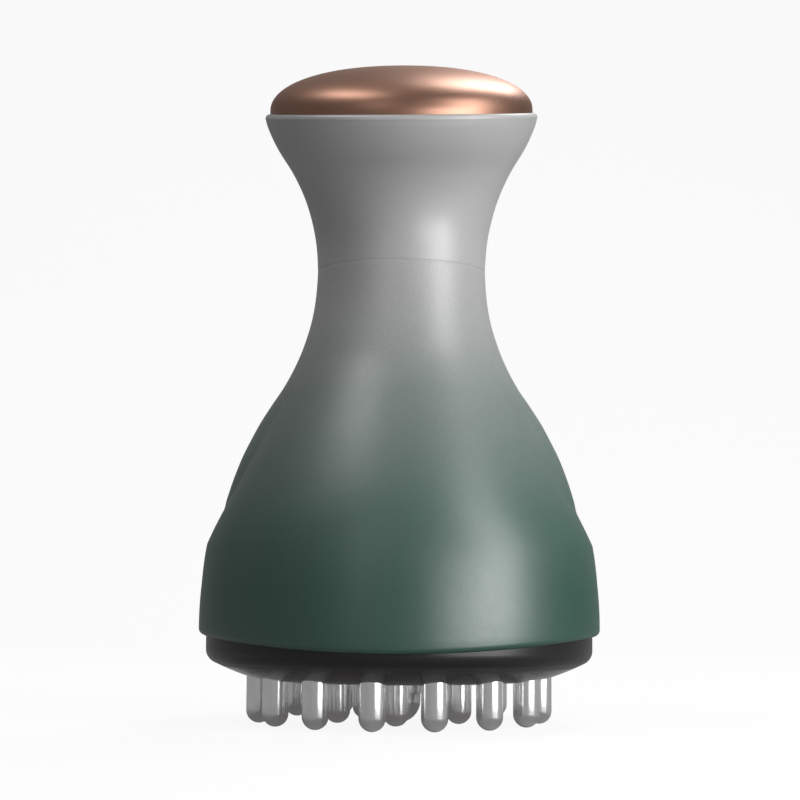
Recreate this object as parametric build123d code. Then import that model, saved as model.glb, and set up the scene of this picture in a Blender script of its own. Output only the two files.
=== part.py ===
from build123d import *
import math
import os

# Electric gua sha massager, a bell-shaped handheld that stands on its metal posts.
# Millimetres, +Z up, origin on the axis at the tips of the posts, front towards -Y.

# Housing outline
waist_radius = 18.8
drum_radius = 44.1
shoulder_step = 1.5
shoulder_radius = drum_radius - shoulder_step
rim_radius = 30.55
drum_bottom_height = 14.5
shoulder_height = 38.8
seam_height = 100.0
collar_height = 35.6
rim_height = seam_height + collar_height
rim_tilt_degrees = 15
shell_wall = 2.2
collar_wall = 2.0
lobe_swell = 2.32

# Heights up the drum, and how far the radius has grown there from shoulder to drum
drum_height_shares = (0, 0.25, 0.4, 0.56, 0.72, 0.84, 0.93, 1)
drum_radius_shares = (1, 1, 0.933, 0.8, 0.6, 0.4, 0.2, 0)

# Heights from shoulder to seam, with the radius there as a share of the way from waist to shoulder
neck_height_shares = (
    0, 0.05, 0.105, 0.165, 0.25, 0.335, 0.42,
    0.5, 0.57, 0.65, 0.74, 0.83, 0.92, 1,
)
side_radius_shares = (
    1, 0.941, 0.87, 0.79, 0.681, 0.5735, 0.466,
    0.3655, 0.277, 0.185, 0.105, 0.0462, 0.0126, 0,
)
front_radius_shares = (
    1, 0.973, 0.926, 0.861, 0.754, 0.637, 0.513,
    0.395, 0.294, 0.189, 0.105, 0.0462, 0.0126, 0,
)

# How far the side lobes stand out, and the half angle that they cover
swell_shares = (0, 0, 0, 0.405, 0.806, 1, 0.957, 0.681, 0.34, 0.168, 0.05, 0, 0, 0)
crease_degrees = (8, 8, 8, 13.1, 15.5, 17.8, 19.8, 23.5, 31, 36, 38, 38, 38, 38)

# Heights from seam to rim, with the radius there as a share of the way from waist to rim
collar_height_shares = (0, 0.12, 0.24, 0.36, 0.47, 0.57, 0.66, 0.75, 0.83, 0.9, 0.96, 1)
collar_radius_shares = (0, 0.019, 0.066, 0.149, 0.255, 0.386, 0.531, 0.705, 0.838, 0.931, 0.988, 1)

# Lower edge of the shell, an arc that is lowest at the front and back
edge_middle_height = 16.2
edge_side_height = 19.3
edge_rounding = 1.1
rabbet_gap = 0.15
seal_shoulder_height = 24.0
seal_shoulder_thickness = 2.0
seal_shoulder_width = 2.3

# Base cover
base_inset = 1.6
base_radius = drum_radius - base_inset
base_wall = 2.1
base_floor_height = 9.3
base_floor_thickness = 3.2
base_chamfer_run = 9.7
base_flat_radius = base_radius - base_chamfer_run
base_inner_run = 6.5
base_inner_flat_radius = base_radius - base_inner_run
base_inner_rise = 3.0
base_chamfer_rise = 4.66
base_corner_rounding = 3.1
base_flat_rounding = 1.0
base_seal_thickness = 0.8
base_seal_gap = 0.1
boss_inset = 5.3
boss_circle_radius = base_radius - boss_inset
boss_radius = 2.7
boss_height = 4.5
boss_count = 4
boss_phase_degrees = 45

# Posts
post_radius = 2.8
post_fit = 0.05
post_shoulder = 0.2
post_shank_radius = post_radius + post_shoulder
post_flange_radius = 3.4
post_flange_thickness = 1.2
post_stub_radius = 1.2
post_stub_rise = 0.6
outer_post_inset = 11.75
outer_post_circle_radius = base_radius - outer_post_inset
outer_post_count = 15
outer_post_phase_degrees = 16.4
inner_post_circle_radius = 13.9
inner_post_count = 5
centre_post_radius = 4.75
centre_post_ring_radius = 5.4
centre_post_ring_height = 3.0
centre_post_flange_radius = 6.6

# Light window
window_outer_edge = 5.95
window_inner_edge = 5.3
window_outer_radius = outer_post_circle_radius - window_outer_edge
window_inner_radius = inner_post_circle_radius + window_inner_edge
window_flange = 0.9
window_flange_thickness = 0.5
window_recess = 0.3
window_fit = 0.1
window_count = 5
window_degrees = 52
window_phase_degrees = 36

# Contact board and its lights
contact_board_inset = 9.1
contact_board_radius = base_radius - contact_board_inset
board_thickness = 1.2
board_hole_gap = 0.1
emitter_count = 10
emitter_length = 2.0
emitter_width = 1.25
emitter_height = 0.6

# Foot frame
foot_plate_inset = 2.8
foot_plate_radius = base_radius - foot_plate_inset
foot_plate_thickness = 2.0
foot_opening_radius = 9.0
pad_count = 3
pad_radius = 2.0
pad_circle_radius = 22.0
column_radius = 2.4
column_edge = 0.8
saddle_length = 5.5
saddle_width = 29.0
frame_screw_radius = 1.3
frame_screw_head_radius = 2.3
frame_screw_head_height = 1.5
frame_screw_depth = 4.0

# Vibration motor
motor_radius = 8.0
motor_length = 22.0
motor_front = 8.0
motor_axis_height = 29.0
motor_fit = 0.05
shaft_radius = 1.0
shaft_fit = 0.05
shaft_length = 26.0
shaft_reach = 9.0
shaft_end_play = 0.2
motor_nose_radius = 3.0
motor_nose_length = 0.8
weight_radius = 6.0
weight_hub_radius = 2.4
weight_length = 6.0
weight_end_gap = 0.8
clamp_thickness = 1.4
clamp_foot_thickness = 1.6
clamp_screw_radius = 1.0
clamp_screw_head_radius = 1.9
clamp_screw_head_height = 1.2
clamp_screw_depth = 5.0

# Battery and its carrier
battery_radius = 9.2
battery_rounding = 0.8
battery_pad_thickness = 1.5
battery_pad_radius = 8.5
carrier_plate_gap = 1.6
carrier_plate_height = motor_axis_height + motor_radius + clamp_thickness + carrier_plate_gap
carrier_plate_thickness = 2.0
carrier_plate_inset = 15.4
carrier_plate_radius = shoulder_radius - carrier_plate_inset
column_circle_radius = carrier_plate_radius - column_edge - column_radius
rail_inner_offset = 11.8
rail_thickness = 1.8
rail_half_width = 4.0
rail_boss_radius = 2.5
rail_boss_length = 6.0
crossbar_height = 4.0
crossbar_low_rise = 6.0
crossbar_high_drop = 22.0
crossbar_thickness = 2.4
crossbar_battery_gap = 0.7

# Main board
main_board_width = 21.0
main_board_rise = 4.0
main_board_drop = 14.0
main_chip_size = 7.0
main_chip_thickness = 1.0
board_screw_radius = 1.0
board_screw_head_radius = 1.9
board_screw_head_height = 1.2
board_screw_depth = 2.0

# Collar inside
spigot_outer_radius = 16.4
spigot_wall = 1.4
spigot_length = 3.5
spigot_root_height = 2.5
spigot_root_overlap = 0.5
deck_rise = 8.5
deck_thickness = 2.0
collar_screw_radius = 1.1
collar_screw_head_radius = 2.2
collar_screw_head_height = 1.4
collar_screw_depth = 5.0
lip_rounding = 0.38
lip_seat_depth = 0.8
lip_seat_gap = 0.12
plug_seat_depth = 3.3
ledge_thickness = 2.0
ledge_inner_radius = 25.6
ledge_overlap = 2.1

# Metal head and what is under it
head_radius = 29.45
head_height = 10.65
head_skirt_height = 0.5
head_skirt_depth = 0.7
head_power = 2.2
head_cavity_radius = 26.5
head_cavity_height = 9.3
head_land_height = 6.8
head_boss_radius = 2.2
head_boss_circle_radius = 21.5
head_boss_count = 3
carrier_radius = 27.6
carrier_fit = 0.15
carrier_thickness = 1.9
snap_count = 3
snap_half_width = 3.0
snap_thickness = 1.2
snap_gap = 0.1
snap_hook = 0.5
snap_hook_height = 1.0
heater_radius = 16.0
heater_thickness = 1.4
heater_pad_radius = 15.0
carrier_screw_radius = 0.9
carrier_screw_head_radius = 1.9
carrier_screw_head_height = 1.0
carrier_screw_depth = 2.0

# Control panel on the back, with its buttons
panel_height = 60.0
panel_length = 38.0
panel_width = 13.0
panel_proud = 0.4
panel_depth = 4.6
panel_fit = 0.12
panel_flange = 1.3
panel_seal_thickness = 0.6
panel_boss_radius = 1.7
panel_boss_place = 16.6
power_button_radius = 5.2
power_button_place = 8.0
mode_button_radius = 4.2
mode_button_place = -6.5
button_fit = 0.1
button_proud = 0.9
button_rounding = 0.5
button_flange = 1.0
button_flange_thickness = 0.8
button_seat_gap = 0.05
button_travel = 0.5
indicator_place = -13.0
indicator_length = 5.0
indicator_width = 1.4
indicator_fit = 0.05
switch_gap = 0.05
switch_plunger_radius = 1.5
switch_plunger_height = 0.6
switch_size = 5.0
switch_height = 1.4
key_board_width = 10.6
key_board_end = 2.0

# Small screws of the key board and the socket board
small_screw_radius = 0.8
small_screw_head_radius = 1.5
small_screw_head_height = 1.0
small_screw_depth = 2.6

# Charging socket at the back of the drum
socket_height = 30.0
socket_width = 8.94
socket_thickness = 3.26
socket_depth = 7.3
socket_metal = 0.3
socket_back = 1.0
socket_wall_gap = 0.25
socket_tongue_width = 6.7
socket_tongue_thickness = 0.7
socket_tongue_length = 4.6
port_gap = 0.35
port_recess_margin = 1.5
port_recess_depth = 1.2
socket_board_width = 15.0
socket_board_length = 12.0
socket_board_inset = 1.0
socket_post_radius = 1.9
socket_post_offset = 5.4
socket_post_setback = 9.5

# Leads
lead_radius = 0.6
lead_hole_gap = 0.3
lead_rise_over_deck = 3.5
lead_head_run = 19.0
lead_bend_share = 0.45

# Cuts run past what they cut by this much
overrun = 1.0

# An edge counts as lying at a height when it is within this much of it
match_gap = 0.01

STAND = (Align.CENTER, Align.CENTER, Align.MIN)

# Levels worked out from the sizes above
base_floor_top = base_floor_height + base_floor_thickness
contact_board_bottom = base_floor_top + post_flange_thickness
contact_board_top = contact_board_bottom + board_thickness
boss_top = base_floor_top + boss_height
foot_plate_top = boss_top + foot_plate_thickness
base_top = seal_shoulder_height - base_seal_thickness
carrier_plate_top = carrier_plate_height + carrier_plate_thickness
deck_height = seam_height + deck_rise
deck_top = deck_height + deck_thickness
battery_top = deck_height - battery_pad_thickness
crossbar_low_height = carrier_plate_top + crossbar_low_rise
crossbar_high_height = seam_height - crossbar_high_drop
main_board_bottom = carrier_plate_top + main_board_rise
main_board_top = seam_height - main_board_drop
main_chip_height = (main_board_bottom + main_board_top) / 2
crossbar_outer = battery_radius + crossbar_battery_gap + crossbar_thickness
main_board_outer = crossbar_outer + board_thickness
main_board_middle = crossbar_outer + board_thickness / 2
shell_inner_drum_radius = drum_radius - shell_wall
seal_shoulder_inner_radius = base_radius - seal_shoulder_width


def disc(radius, bottom, top):
    """A round plate on the axis between two heights."""
    return Pos(0, 0, bottom) * Cylinder(radius, top - bottom, align=STAND)


def ring(outer_radius, inner_radius, bottom, top):
    """A flat ring on the axis between two heights."""
    return disc(outer_radius, bottom, top) - disc(inner_radius, bottom - overrun, top + overrun)


def block(x_low, x_high, y_low, y_high, z_low, z_high):
    """A box between two corners."""
    box = Box(x_high - x_low, y_high - y_low, z_high - z_low, align=(Align.MIN, Align.MIN, Align.MIN))
    return Pos(x_low, y_low, z_low) * box


def around(radius, count, phase_degrees):
    """Places on a circle, the angle counted from the front towards the right."""
    places = []
    for index in range(count):
        angle = math.radians(phase_degrees + index * 360 / count)
        places.append((radius * math.sin(angle), -radius * math.cos(angle)))
    return places


def edges_at(body, height):
    """The level edges of a body at a height."""
    return body.edges().filter_by_position(Axis.Z, height - match_gap, height + match_gap)


def between(low, high, share):
    """The value at a share of the way from low to high."""
    return low + (high - low) * share


def ring_radii():
    """Heights of the housing's rings with side radius, front radius, lobe swell and crease angle."""
    drum = []
    for height_share, radius_share in zip(drum_height_shares, drum_radius_shares):
        height = between(drum_bottom_height, shoulder_height, height_share)
        radius = between(shoulder_radius, drum_radius, radius_share)
        drum.append((height, radius, radius, 0, crease_degrees[0]))
    neck = []
    shares = zip(neck_height_shares, side_radius_shares, front_radius_shares, swell_shares, crease_degrees)
    for height_share, side_share, front_share, swell_share, angle in shares:
        height = between(shoulder_height, seam_height, height_share)
        side = between(waist_radius, shoulder_radius, side_share)
        front = between(waist_radius, shoulder_radius, front_share)
        neck.append((height, side, front, lobe_swell * swell_share, angle))
    return drum, neck


def housing_ring(height, side, front, swell, angle_degrees):
    """One horizontal outline: front and back arcs, and a fuller arc on each side lobe."""
    angle = math.radians(angle_degrees)
    crease_x = side * math.cos(angle)
    crease_y = front * math.sin(angle)
    right = ThreePointArc((crease_x, -crease_y), (side + swell, 0), (crease_x, crease_y))
    back = ThreePointArc((crease_x, crease_y), (0, front), (-crease_x, crease_y))
    left = ThreePointArc((-crease_x, crease_y), (-side - swell, 0), (-crease_x, -crease_y))
    near = ThreePointArc((-crease_x, -crease_y), (0, -front), (crease_x, -crease_y))
    return Pos(0, 0, height) * make_face([right, back, left, near])


def housing_body(inset):
    """The lower housing's solid shape, drawn in by an inset."""
    solids = []
    for rows in ring_radii():
        rings = []
        for height, side, front, swell, angle in rows:
            rings.append(housing_ring(height, side - inset, front - inset, swell, angle))
        solids.append(loft(rings))
    return solids[0] + solids[1]


def front_radius_at(height):
    """Radius of the front and back outline at a height between shoulder and seam."""
    rows = ring_radii()[1]
    for low, high in zip(rows, rows[1:]):
        if low[0] <= height <= high[0]:
            return between(low[2], high[2], (height - low[0]) / (high[0] - low[0]))
    return rows[-1][2]


def drum_radius_at(height):
    """Radius of the drum at a height below the shoulder."""
    rows = ring_radii()[0]
    for low, high in zip(rows, rows[1:]):
        if low[0] <= height <= high[0]:
            return between(low[1], high[1], (height - low[0]) / (high[0] - low[0]))
    return rows[0][1]


def collar_tilt(height_share):
    """How far the collar has tilted forward at a share of its height, in degrees."""
    return rim_tilt_degrees * height_share ** 2 * (3 - 2 * height_share)


def collar_lean(height_share):
    """How far the collar's middle has moved to the front at a share of its height."""
    steps = 40
    reach = 0
    for index in range(steps):
        middle_share = (index + 1 / 2) / steps * height_share
        reach += math.tan(math.radians(collar_tilt(middle_share))) / steps
    return reach * height_share * (rim_height - seam_height)


def collar_body(inset):
    """The collar's solid shape: circles that lean and tilt forward step by step up to the rim."""
    rings = []
    for height_share, radius_share in zip(collar_height_shares, collar_radius_shares):
        radius = between(waist_radius, rim_radius, radius_share) - inset
        height = between(seam_height, rim_height, height_share)
        place = Pos(0, -collar_lean(height_share), height)
        rings.append(place * Rot(collar_tilt(height_share), 0, 0) * Circle(radius))
    return loft(rings)


rim_plane = Plane(Pos(0, -collar_lean(1), rim_height) * Rot(rim_tilt_degrees, 0, 0))


def rim_disc(radius, bottom, top):
    """A round plate square to the tilted rim, its heights counted from the rim."""
    return rim_plane * disc(radius, bottom, top)


def screw(radius, head_radius, head_height, depth):
    """A pan-head screw whose head stands on height zero and whose shank points down."""
    return disc(head_radius, 0, head_height) + disc(radius, -depth, 0)


# Housing pieces

def edge_cutter():
    """What lies below the shell's curved lower edge."""
    reach = drum_radius + overrun
    sagitta = edge_side_height - edge_middle_height
    side_height = edge_middle_height + sagitta * (reach / drum_radius) ** 2
    bottom = drum_bottom_height - overrun
    arc = ThreePointArc((-reach, side_height), (0, edge_middle_height), (reach, side_height))
    sides = Polyline((reach, side_height), (reach, bottom), (-reach, bottom), (-reach, side_height))
    return extrude(Plane.XZ * make_face([arc, sides]), amount=reach, both=True)


def panel_frame():
    """Place of the control panel: on the back of the shoulder, square to the slope there."""
    half = panel_length / 2
    low = front_radius_at(panel_height - half)
    high = front_radius_at(panel_height + half)
    lean = math.atan2(low - high, panel_length)
    normal = (0, math.cos(lean), math.sin(lean))
    return Plane(origin=(0, front_radius_at(panel_height), panel_height), x_dir=(-1, 0, 0), z_dir=normal)


panel_plane = panel_frame()


def surface_rise(place):
    """How far the back outline stands above the panel's plane at a place along it."""
    normal = panel_plane.z_dir
    height = panel_height + place * normal.Y
    step = front_radius_at(height) - front_radius_at(panel_height)
    return step * normal.Y + (height - panel_height) * normal.Z


def panel_prism(margin, low, high):
    """The panel's long round shape with a margin, between two levels on its plane."""
    shape = SlotOverall(panel_length + 2 * margin, panel_width + 2 * margin, rotation=90)
    return panel_plane * Pos(0, 0, low) * extrude(shape, amount=high - low)


def panel_disc(place, radius, low, high):
    """A round plate on the panel's plane at a place along it."""
    return panel_plane * Pos(0, place, 0) * disc(radius, low, high)


def port_prism(margin, y_low, y_high):
    """The charging port's long round shape with a margin, along Y."""
    shape = SlotOverall(socket_width + 2 * margin, socket_thickness + 2 * margin)
    placed = Plane.XZ.offset(-y_low) * Pos(0, socket_height) * shape
    return extrude(placed, amount=-(y_high - y_low))


def lower_shell(outer, inner):
    """Painted housing from the drum's lower edge to the seam in the waist."""
    body = outer - edge_cutter()
    low_edges = body.edges().filter_by(lambda edge: edge.bounding_box().max.Z < edge_side_height + overrun)
    body = fillet(low_edges, edge_rounding)
    body -= inner
    body -= disc(base_radius + rabbet_gap, 0, seal_shoulder_height)
    shoulder_top = seal_shoulder_height + seal_shoulder_thickness
    body += ring(shell_inner_drum_radius, seal_shoulder_inner_radius, seal_shoulder_height, shoulder_top)
    body -= panel_prism(panel_fit, -panel_depth - overrun, panel_depth)
    port_face = drum_radius_at(socket_height)
    body -= port_prism(port_gap, port_face - 2 * shell_wall, drum_radius + overrun)
    body -= port_prism(port_recess_margin, port_face - port_recess_depth, drum_radius + overrun)
    return body


def upper_collar():
    """Flared collar with a spigot in the neck, a deck for its screws and a ledge for the head."""
    outer = collar_body(0)
    body = outer - collar_body(collar_wall)
    spigot_inner = spigot_outer_radius - spigot_wall
    body += ring(spigot_outer_radius, spigot_inner, seam_height - spigot_length, seam_height + overrun)
    root_outer = waist_radius - collar_wall + spigot_root_overlap
    body += ring(root_outer, spigot_inner, seam_height, seam_height + spigot_root_height)
    deck_radius = waist_radius - collar_wall + 2 * spigot_root_overlap
    body += disc(deck_radius, deck_height, deck_top)
    ledge_low = -plug_seat_depth - ledge_thickness
    ledge = rim_disc(ledge_inner_radius + ledge_overlap, ledge_low, -plug_seat_depth)
    ledge -= rim_disc(ledge_inner_radius, ledge_low - overrun, overrun)
    body += ledge
    body -= rim_disc(head_radius + lip_seat_gap, -lip_seat_depth, 2 * overrun)
    body -= rim_disc(carrier_radius + carrier_fit, -plug_seat_depth, overrun)
    for side in (-1, 1):
        body -= Pos(side * rail_screw_offset(), 0, 0) * disc(collar_screw_radius, deck_height, deck_top)
    lead_hole = lead_radius + lead_hole_gap
    body -= Pos(0, main_board_middle, 0) * disc(lead_hole, deck_height, deck_top)
    rim_edges = [edge for edge in body.edges() if is_rim_edge(edge)]
    return fillet(rim_edges, lip_rounding)


def is_rim_edge(edge):
    """True for the two circles that bound the lip's top face."""
    centre = rim_plane.to_local_coords(edge.center())
    flat = abs(centre.Z) < lip_seat_gap and edge.geom_type == GeomType.CIRCLE
    return flat and edge.radius > head_radius


def rail_screw_offset():
    """How far the collar screws stand from the axis."""
    return rail_inner_offset + rail_thickness - rail_boss_radius + spigot_root_overlap


# Base cover and posts

def base_cover():
    """Black base: side wall, rounded corner, conical underside, floor with post holes and windows."""
    corner_height = base_floor_height + base_chamfer_rise
    outline = Polyline(
        (0, base_floor_height),
        (base_flat_radius, base_floor_height),
        (base_radius, corner_height),
        (base_radius, base_top),
        (0, base_top),
        (0, base_floor_height),
    )
    body = revolve(Plane.XZ * make_face(outline), Axis.Z)
    body = fillet(edges_at(body, corner_height), base_corner_rounding)
    body = fillet(edges_at(body, base_floor_height), base_flat_rounding)
    inner_radius = base_radius - base_wall
    hollow = Polyline(
        (0, base_floor_top),
        (base_inner_flat_radius, base_floor_top),
        (inner_radius, base_floor_top + base_inner_rise),
        (inner_radius, base_top + overrun),
        (0, base_top + overrun),
        (0, base_floor_top),
    )
    body -= revolve(Plane.XZ * make_face(hollow), Axis.Z)
    for x, y in around(boss_circle_radius, boss_count, boss_phase_degrees):
        body += Pos(x, y, 0) * disc(boss_radius, base_floor_top, boss_top)
    for x, y in around(boss_circle_radius, boss_count, boss_phase_degrees):
        body -= Pos(x, y, 0) * disc(frame_screw_radius, boss_top - frame_screw_depth, boss_top)
    hole_bottom = base_floor_height - overrun
    for x, y in outer_post_places() + inner_post_places():
        body -= Pos(x, y, 0) * disc(post_shank_radius + post_fit, hole_bottom, base_floor_top)
    body -= disc(centre_post_radius + post_fit, hole_bottom, base_floor_top)
    for piece in window_segments(0, hole_bottom, base_floor_top):
        body -= piece
    return body


def outer_post_places():
    """Where the outer posts stand."""
    return around(outer_post_circle_radius, outer_post_count, outer_post_phase_degrees)


def inner_post_places():
    """Where the inner posts stand."""
    return around(inner_post_circle_radius, inner_post_count, 0)


def post():
    """A round-ended post: a wider shank in the floor, a flange on it and a stub for the board."""
    body = disc(post_radius, post_radius, base_floor_top)
    body += Pos(0, 0, post_radius) * Sphere(post_radius)
    body += disc(post_shank_radius, base_floor_height, base_floor_top)
    body += disc(post_flange_radius, base_floor_top, contact_board_bottom)
    body += disc(post_stub_radius, contact_board_bottom, contact_board_top + post_stub_rise)
    return body


def centre_post():
    """The larger middle post with a ring where it leaves the floor."""
    body = disc(centre_post_radius, centre_post_radius, base_floor_top)
    body += Pos(0, 0, centre_post_radius) * Sphere(centre_post_radius)
    body += disc(centre_post_ring_radius, base_floor_height - centre_post_ring_height, base_floor_height)
    body += disc(centre_post_flange_radius, base_floor_top, contact_board_bottom)
    body += disc(post_stub_radius, contact_board_bottom, contact_board_top + post_stub_rise)
    return body


def window_segments(gap, bottom, top):
    """Arc-shaped prisms of the light window, drawn in by a gap."""
    segments = []
    gap_degrees = math.degrees(gap / window_inner_radius)
    half = math.radians(window_degrees / 2 - gap_degrees)
    reach = 2 * window_outer_radius
    for index in range(window_count):
        middle = math.radians(window_phase_degrees + index * 360 / window_count)
        wedge = Polyline(
            (0, 0),
            (reach * math.sin(middle - half), -reach * math.cos(middle - half)),
            (reach * math.sin(middle + half), -reach * math.cos(middle + half)),
            (0, 0),
        )
        prism = extrude(Pos(0, 0, bottom) * make_face(wedge), amount=top - bottom)
        band = ring(window_outer_radius - gap, window_inner_radius + gap, bottom, top)
        segments.append(prism & band)
    return segments


def light_window():
    """Tinted ring whose raised arcs fill the slots in the floor."""
    top = base_floor_top + window_flange_thickness
    outer = window_outer_radius + window_flange
    inner = window_inner_radius - window_flange
    body = ring(outer, inner, base_floor_top, top)
    for piece in window_segments(window_fit, base_floor_height + window_recess, base_floor_top):
        body += piece
    return body


def base_seal():
    """Flat ring between the base cover's top edge and the shell's shoulder."""
    inner = base_radius - base_wall + base_seal_gap
    return ring(base_radius - base_seal_gap, inner, base_top, seal_shoulder_height)


def contact_board():
    """Round board that rests on the posts' flanges."""
    body = disc(contact_board_radius, contact_board_bottom, contact_board_top)
    hole = post_stub_radius + board_hole_gap
    for x, y in outer_post_places() + inner_post_places() + [(0, 0)]:
        body -= Pos(x, y, 0) * disc(hole, contact_board_bottom, contact_board_top)
    return body


def light_emitters():
    """Small red lights under the board, over the window."""
    middle = (window_outer_radius + window_inner_radius) / 2
    bottom = contact_board_bottom - emitter_height
    solids = []
    for index in range(emitter_count):
        turn = Rot(0, 0, index * 360 / emitter_count)
        chip = block(
            -emitter_length / 2, emitter_length / 2,
            middle - emitter_width / 2, middle + emitter_width / 2,
            bottom, contact_board_bottom,
        )
        solids.append(turn * chip)
    return Compound(solids)


# Frames inside

def foot_frame():
    """Foot plate on the base's bosses, with pads, columns, motor saddles and socket posts."""
    body = disc(foot_plate_radius, boss_top, foot_plate_top)
    body -= disc(foot_opening_radius, boss_top, foot_plate_top)
    for x, y in around(pad_circle_radius, pad_count, 0):
        body += Pos(x, y, 0) * disc(pad_radius, contact_board_top, boss_top)
    for x, y in around(column_circle_radius, boss_count, boss_phase_degrees):
        body += Pos(x, y, 0) * disc(column_radius, foot_plate_top, carrier_plate_height)
    for x in saddle_places():
        half = saddle_width / 2
        body += block(x, x + saddle_length, -half, half, foot_plate_top, motor_axis_height)
    body -= motor_room()
    for x, y in socket_post_places():
        body += Pos(x, y, 0) * disc(socket_post_radius, foot_plate_top, socket_board_bottom())
        depth = socket_board_bottom() - small_screw_depth
        body -= Pos(x, y, 0) * disc(small_screw_radius, depth, socket_board_bottom())
    for x, y in around(boss_circle_radius, boss_count, boss_phase_degrees):
        body -= Pos(x, y, 0) * disc(frame_screw_radius, boss_top, foot_plate_top)
    for x, y in around(column_circle_radius, boss_count, boss_phase_degrees):
        depth = carrier_plate_height - frame_screw_depth
        body -= Pos(x, y, 0) * disc(frame_screw_radius, depth, carrier_plate_height)
    for x, y in clamp_screw_places():
        depth = motor_axis_height - clamp_screw_depth
        body -= Pos(x, y, 0) * disc(clamp_screw_radius, depth, motor_axis_height)
    return body


def saddle_places():
    """Where the two motor saddles start along X."""
    rear = motor_front - motor_length
    return (rear + shell_wall, motor_front - shell_wall - saddle_length)


def motor_room():
    """The motor's round space in the saddles."""
    room = Cylinder(motor_radius + motor_fit, motor_length + 2 * overrun, rotation=(0, 90, 0))
    return Pos(motor_front - motor_length / 2, 0, motor_axis_height) * room


def clamp_screw_places():
    """Where the clamp screws go down into the saddles."""
    offset = (motor_radius + clamp_thickness + saddle_width / 2) / 2
    places = []
    for x in saddle_places():
        for side in (-1, 1):
            places.append((x + saddle_length / 2, side * offset))
    return places


def frame_screws():
    """Screws of the foot plate on the base's bosses and of the carrier's plate on the columns."""
    one = screw(frame_screw_radius, frame_screw_head_radius, frame_screw_head_height, frame_screw_depth)
    solids = []
    for x, y in around(boss_circle_radius, boss_count, boss_phase_degrees):
        solids.append(Pos(x, y, foot_plate_top) * one)
    for x, y in around(column_circle_radius, boss_count, boss_phase_degrees):
        solids.append(Pos(x, y, carrier_plate_top) * one)
    return Compound(solids)


# Motor

def motor_can():
    """Motor body with a nose and a bore for its shaft."""
    can = Cylinder(motor_radius, motor_length, rotation=(0, 90, 0))
    body = Pos(motor_front - motor_length / 2, 0, 0) * can
    nose = Cylinder(motor_nose_radius, motor_nose_length, rotation=(0, 90, 0))
    body += Pos(motor_front + motor_nose_length / 2, 0, 0) * nose
    start = shaft_start() - shaft_end_play
    end = motor_front + motor_nose_length + overrun
    bore = Cylinder(shaft_radius + shaft_fit, end - start, rotation=(0, 90, 0))
    body -= Pos((start + end) / 2, 0, 0) * bore
    return Pos(0, 0, motor_axis_height) * body


def shaft_start():
    """Where the shaft's inner end is along X."""
    return motor_front + motor_nose_length + shaft_reach - shaft_length


def motor_shaft():
    """Steel shaft along X."""
    rod = Cylinder(shaft_radius, shaft_length, rotation=(0, 90, 0))
    return Pos(shaft_start() + shaft_length / 2, 0, motor_axis_height) * rod


def eccentric_weight():
    """Half-round weight on the shaft's free end."""
    start = motor_front + motor_nose_length + weight_end_gap
    middle = start + weight_length / 2
    disc_body = Cylinder(weight_radius, weight_length, rotation=(0, 90, 0))
    reach = 2 * weight_radius
    lower = block(-weight_length, weight_length, -reach, reach, -reach, 0)
    body = disc_body & lower
    body += Cylinder(weight_hub_radius, weight_length, rotation=(0, 90, 0))
    body -= Cylinder(shaft_radius, weight_length + 2 * overrun, rotation=(0, 90, 0))
    return Pos(middle, 0, motor_axis_height) * body


def motor_clamp():
    """Arched strap that holds the motor down on its saddles."""
    start = saddle_places()[0]
    end = saddle_places()[1] + saddle_length
    length = end - start
    half = saddle_width / 2
    arch = Cylinder(motor_radius + clamp_thickness, length, rotation=(0, 90, 0))
    body = Pos(start + length / 2, 0, 0) * arch
    body += block(start, end, -half, half, 0, clamp_foot_thickness)
    room = Cylinder(motor_radius + motor_fit, length + 2 * overrun, rotation=(0, 90, 0))
    body -= Pos(start + length / 2, 0, 0) * room
    body &= block(start, end, -half, half, 0, 2 * motor_radius)
    body = Pos(0, 0, motor_axis_height) * body
    foot_top = motor_axis_height + clamp_foot_thickness
    for x, y in clamp_screw_places():
        body -= Pos(x, y, 0) * disc(clamp_screw_radius, motor_axis_height, foot_top)
    return body


def clamp_screws():
    """Screws through the clamp's feet."""
    solids = []
    depth = clamp_foot_thickness + clamp_screw_depth - overrun
    for x, y in clamp_screw_places():
        one = screw(clamp_screw_radius, clamp_screw_head_radius, clamp_screw_head_height, depth)
        solids.append(Pos(x, y, motor_axis_height + clamp_foot_thickness) * one)
    return Compound(solids)


# Battery, carrier and main board

def battery_carrier():
    """Plate on the columns with two rails up the neck and crossbars for the main board."""
    body = disc(carrier_plate_radius, carrier_plate_height, carrier_plate_top)
    rail_outer = rail_inner_offset + rail_thickness
    for side in (-1, 1):
        x_low = min(side * rail_inner_offset, side * rail_outer)
        x_high = max(side * rail_inner_offset, side * rail_outer)
        body += block(x_low, x_high, -rail_half_width, rail_half_width, carrier_plate_top, deck_height)
        boss = disc(rail_boss_radius, deck_height - rail_boss_length, deck_height)
        body += Pos(side * rail_screw_offset(), 0, 0) * boss
    for low in (crossbar_low_height, crossbar_high_height):
        high = low + crossbar_height
        bar = block(-rail_outer, rail_outer, 0, crossbar_outer, low, high)
        inner = crossbar_outer - crossbar_thickness
        bar -= block(-rail_inner_offset, rail_inner_offset, -overrun, inner, low, high)
        body += bar
    body -= disc(battery_radius + carrier_fit, carrier_plate_top, deck_height + overrun)
    for side in (-1, 1):
        depth = deck_height - collar_screw_depth
        body -= Pos(side * rail_screw_offset(), 0, 0) * disc(collar_screw_radius, depth, deck_height)
    for x, y in around(column_circle_radius, boss_count, boss_phase_degrees):
        body -= Pos(x, y, 0) * disc(frame_screw_radius, carrier_plate_height, carrier_plate_top)
    for height in board_screw_heights():
        body -= along_y(board_screw_radius, crossbar_outer - board_screw_depth, crossbar_outer, height)
    return body


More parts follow.
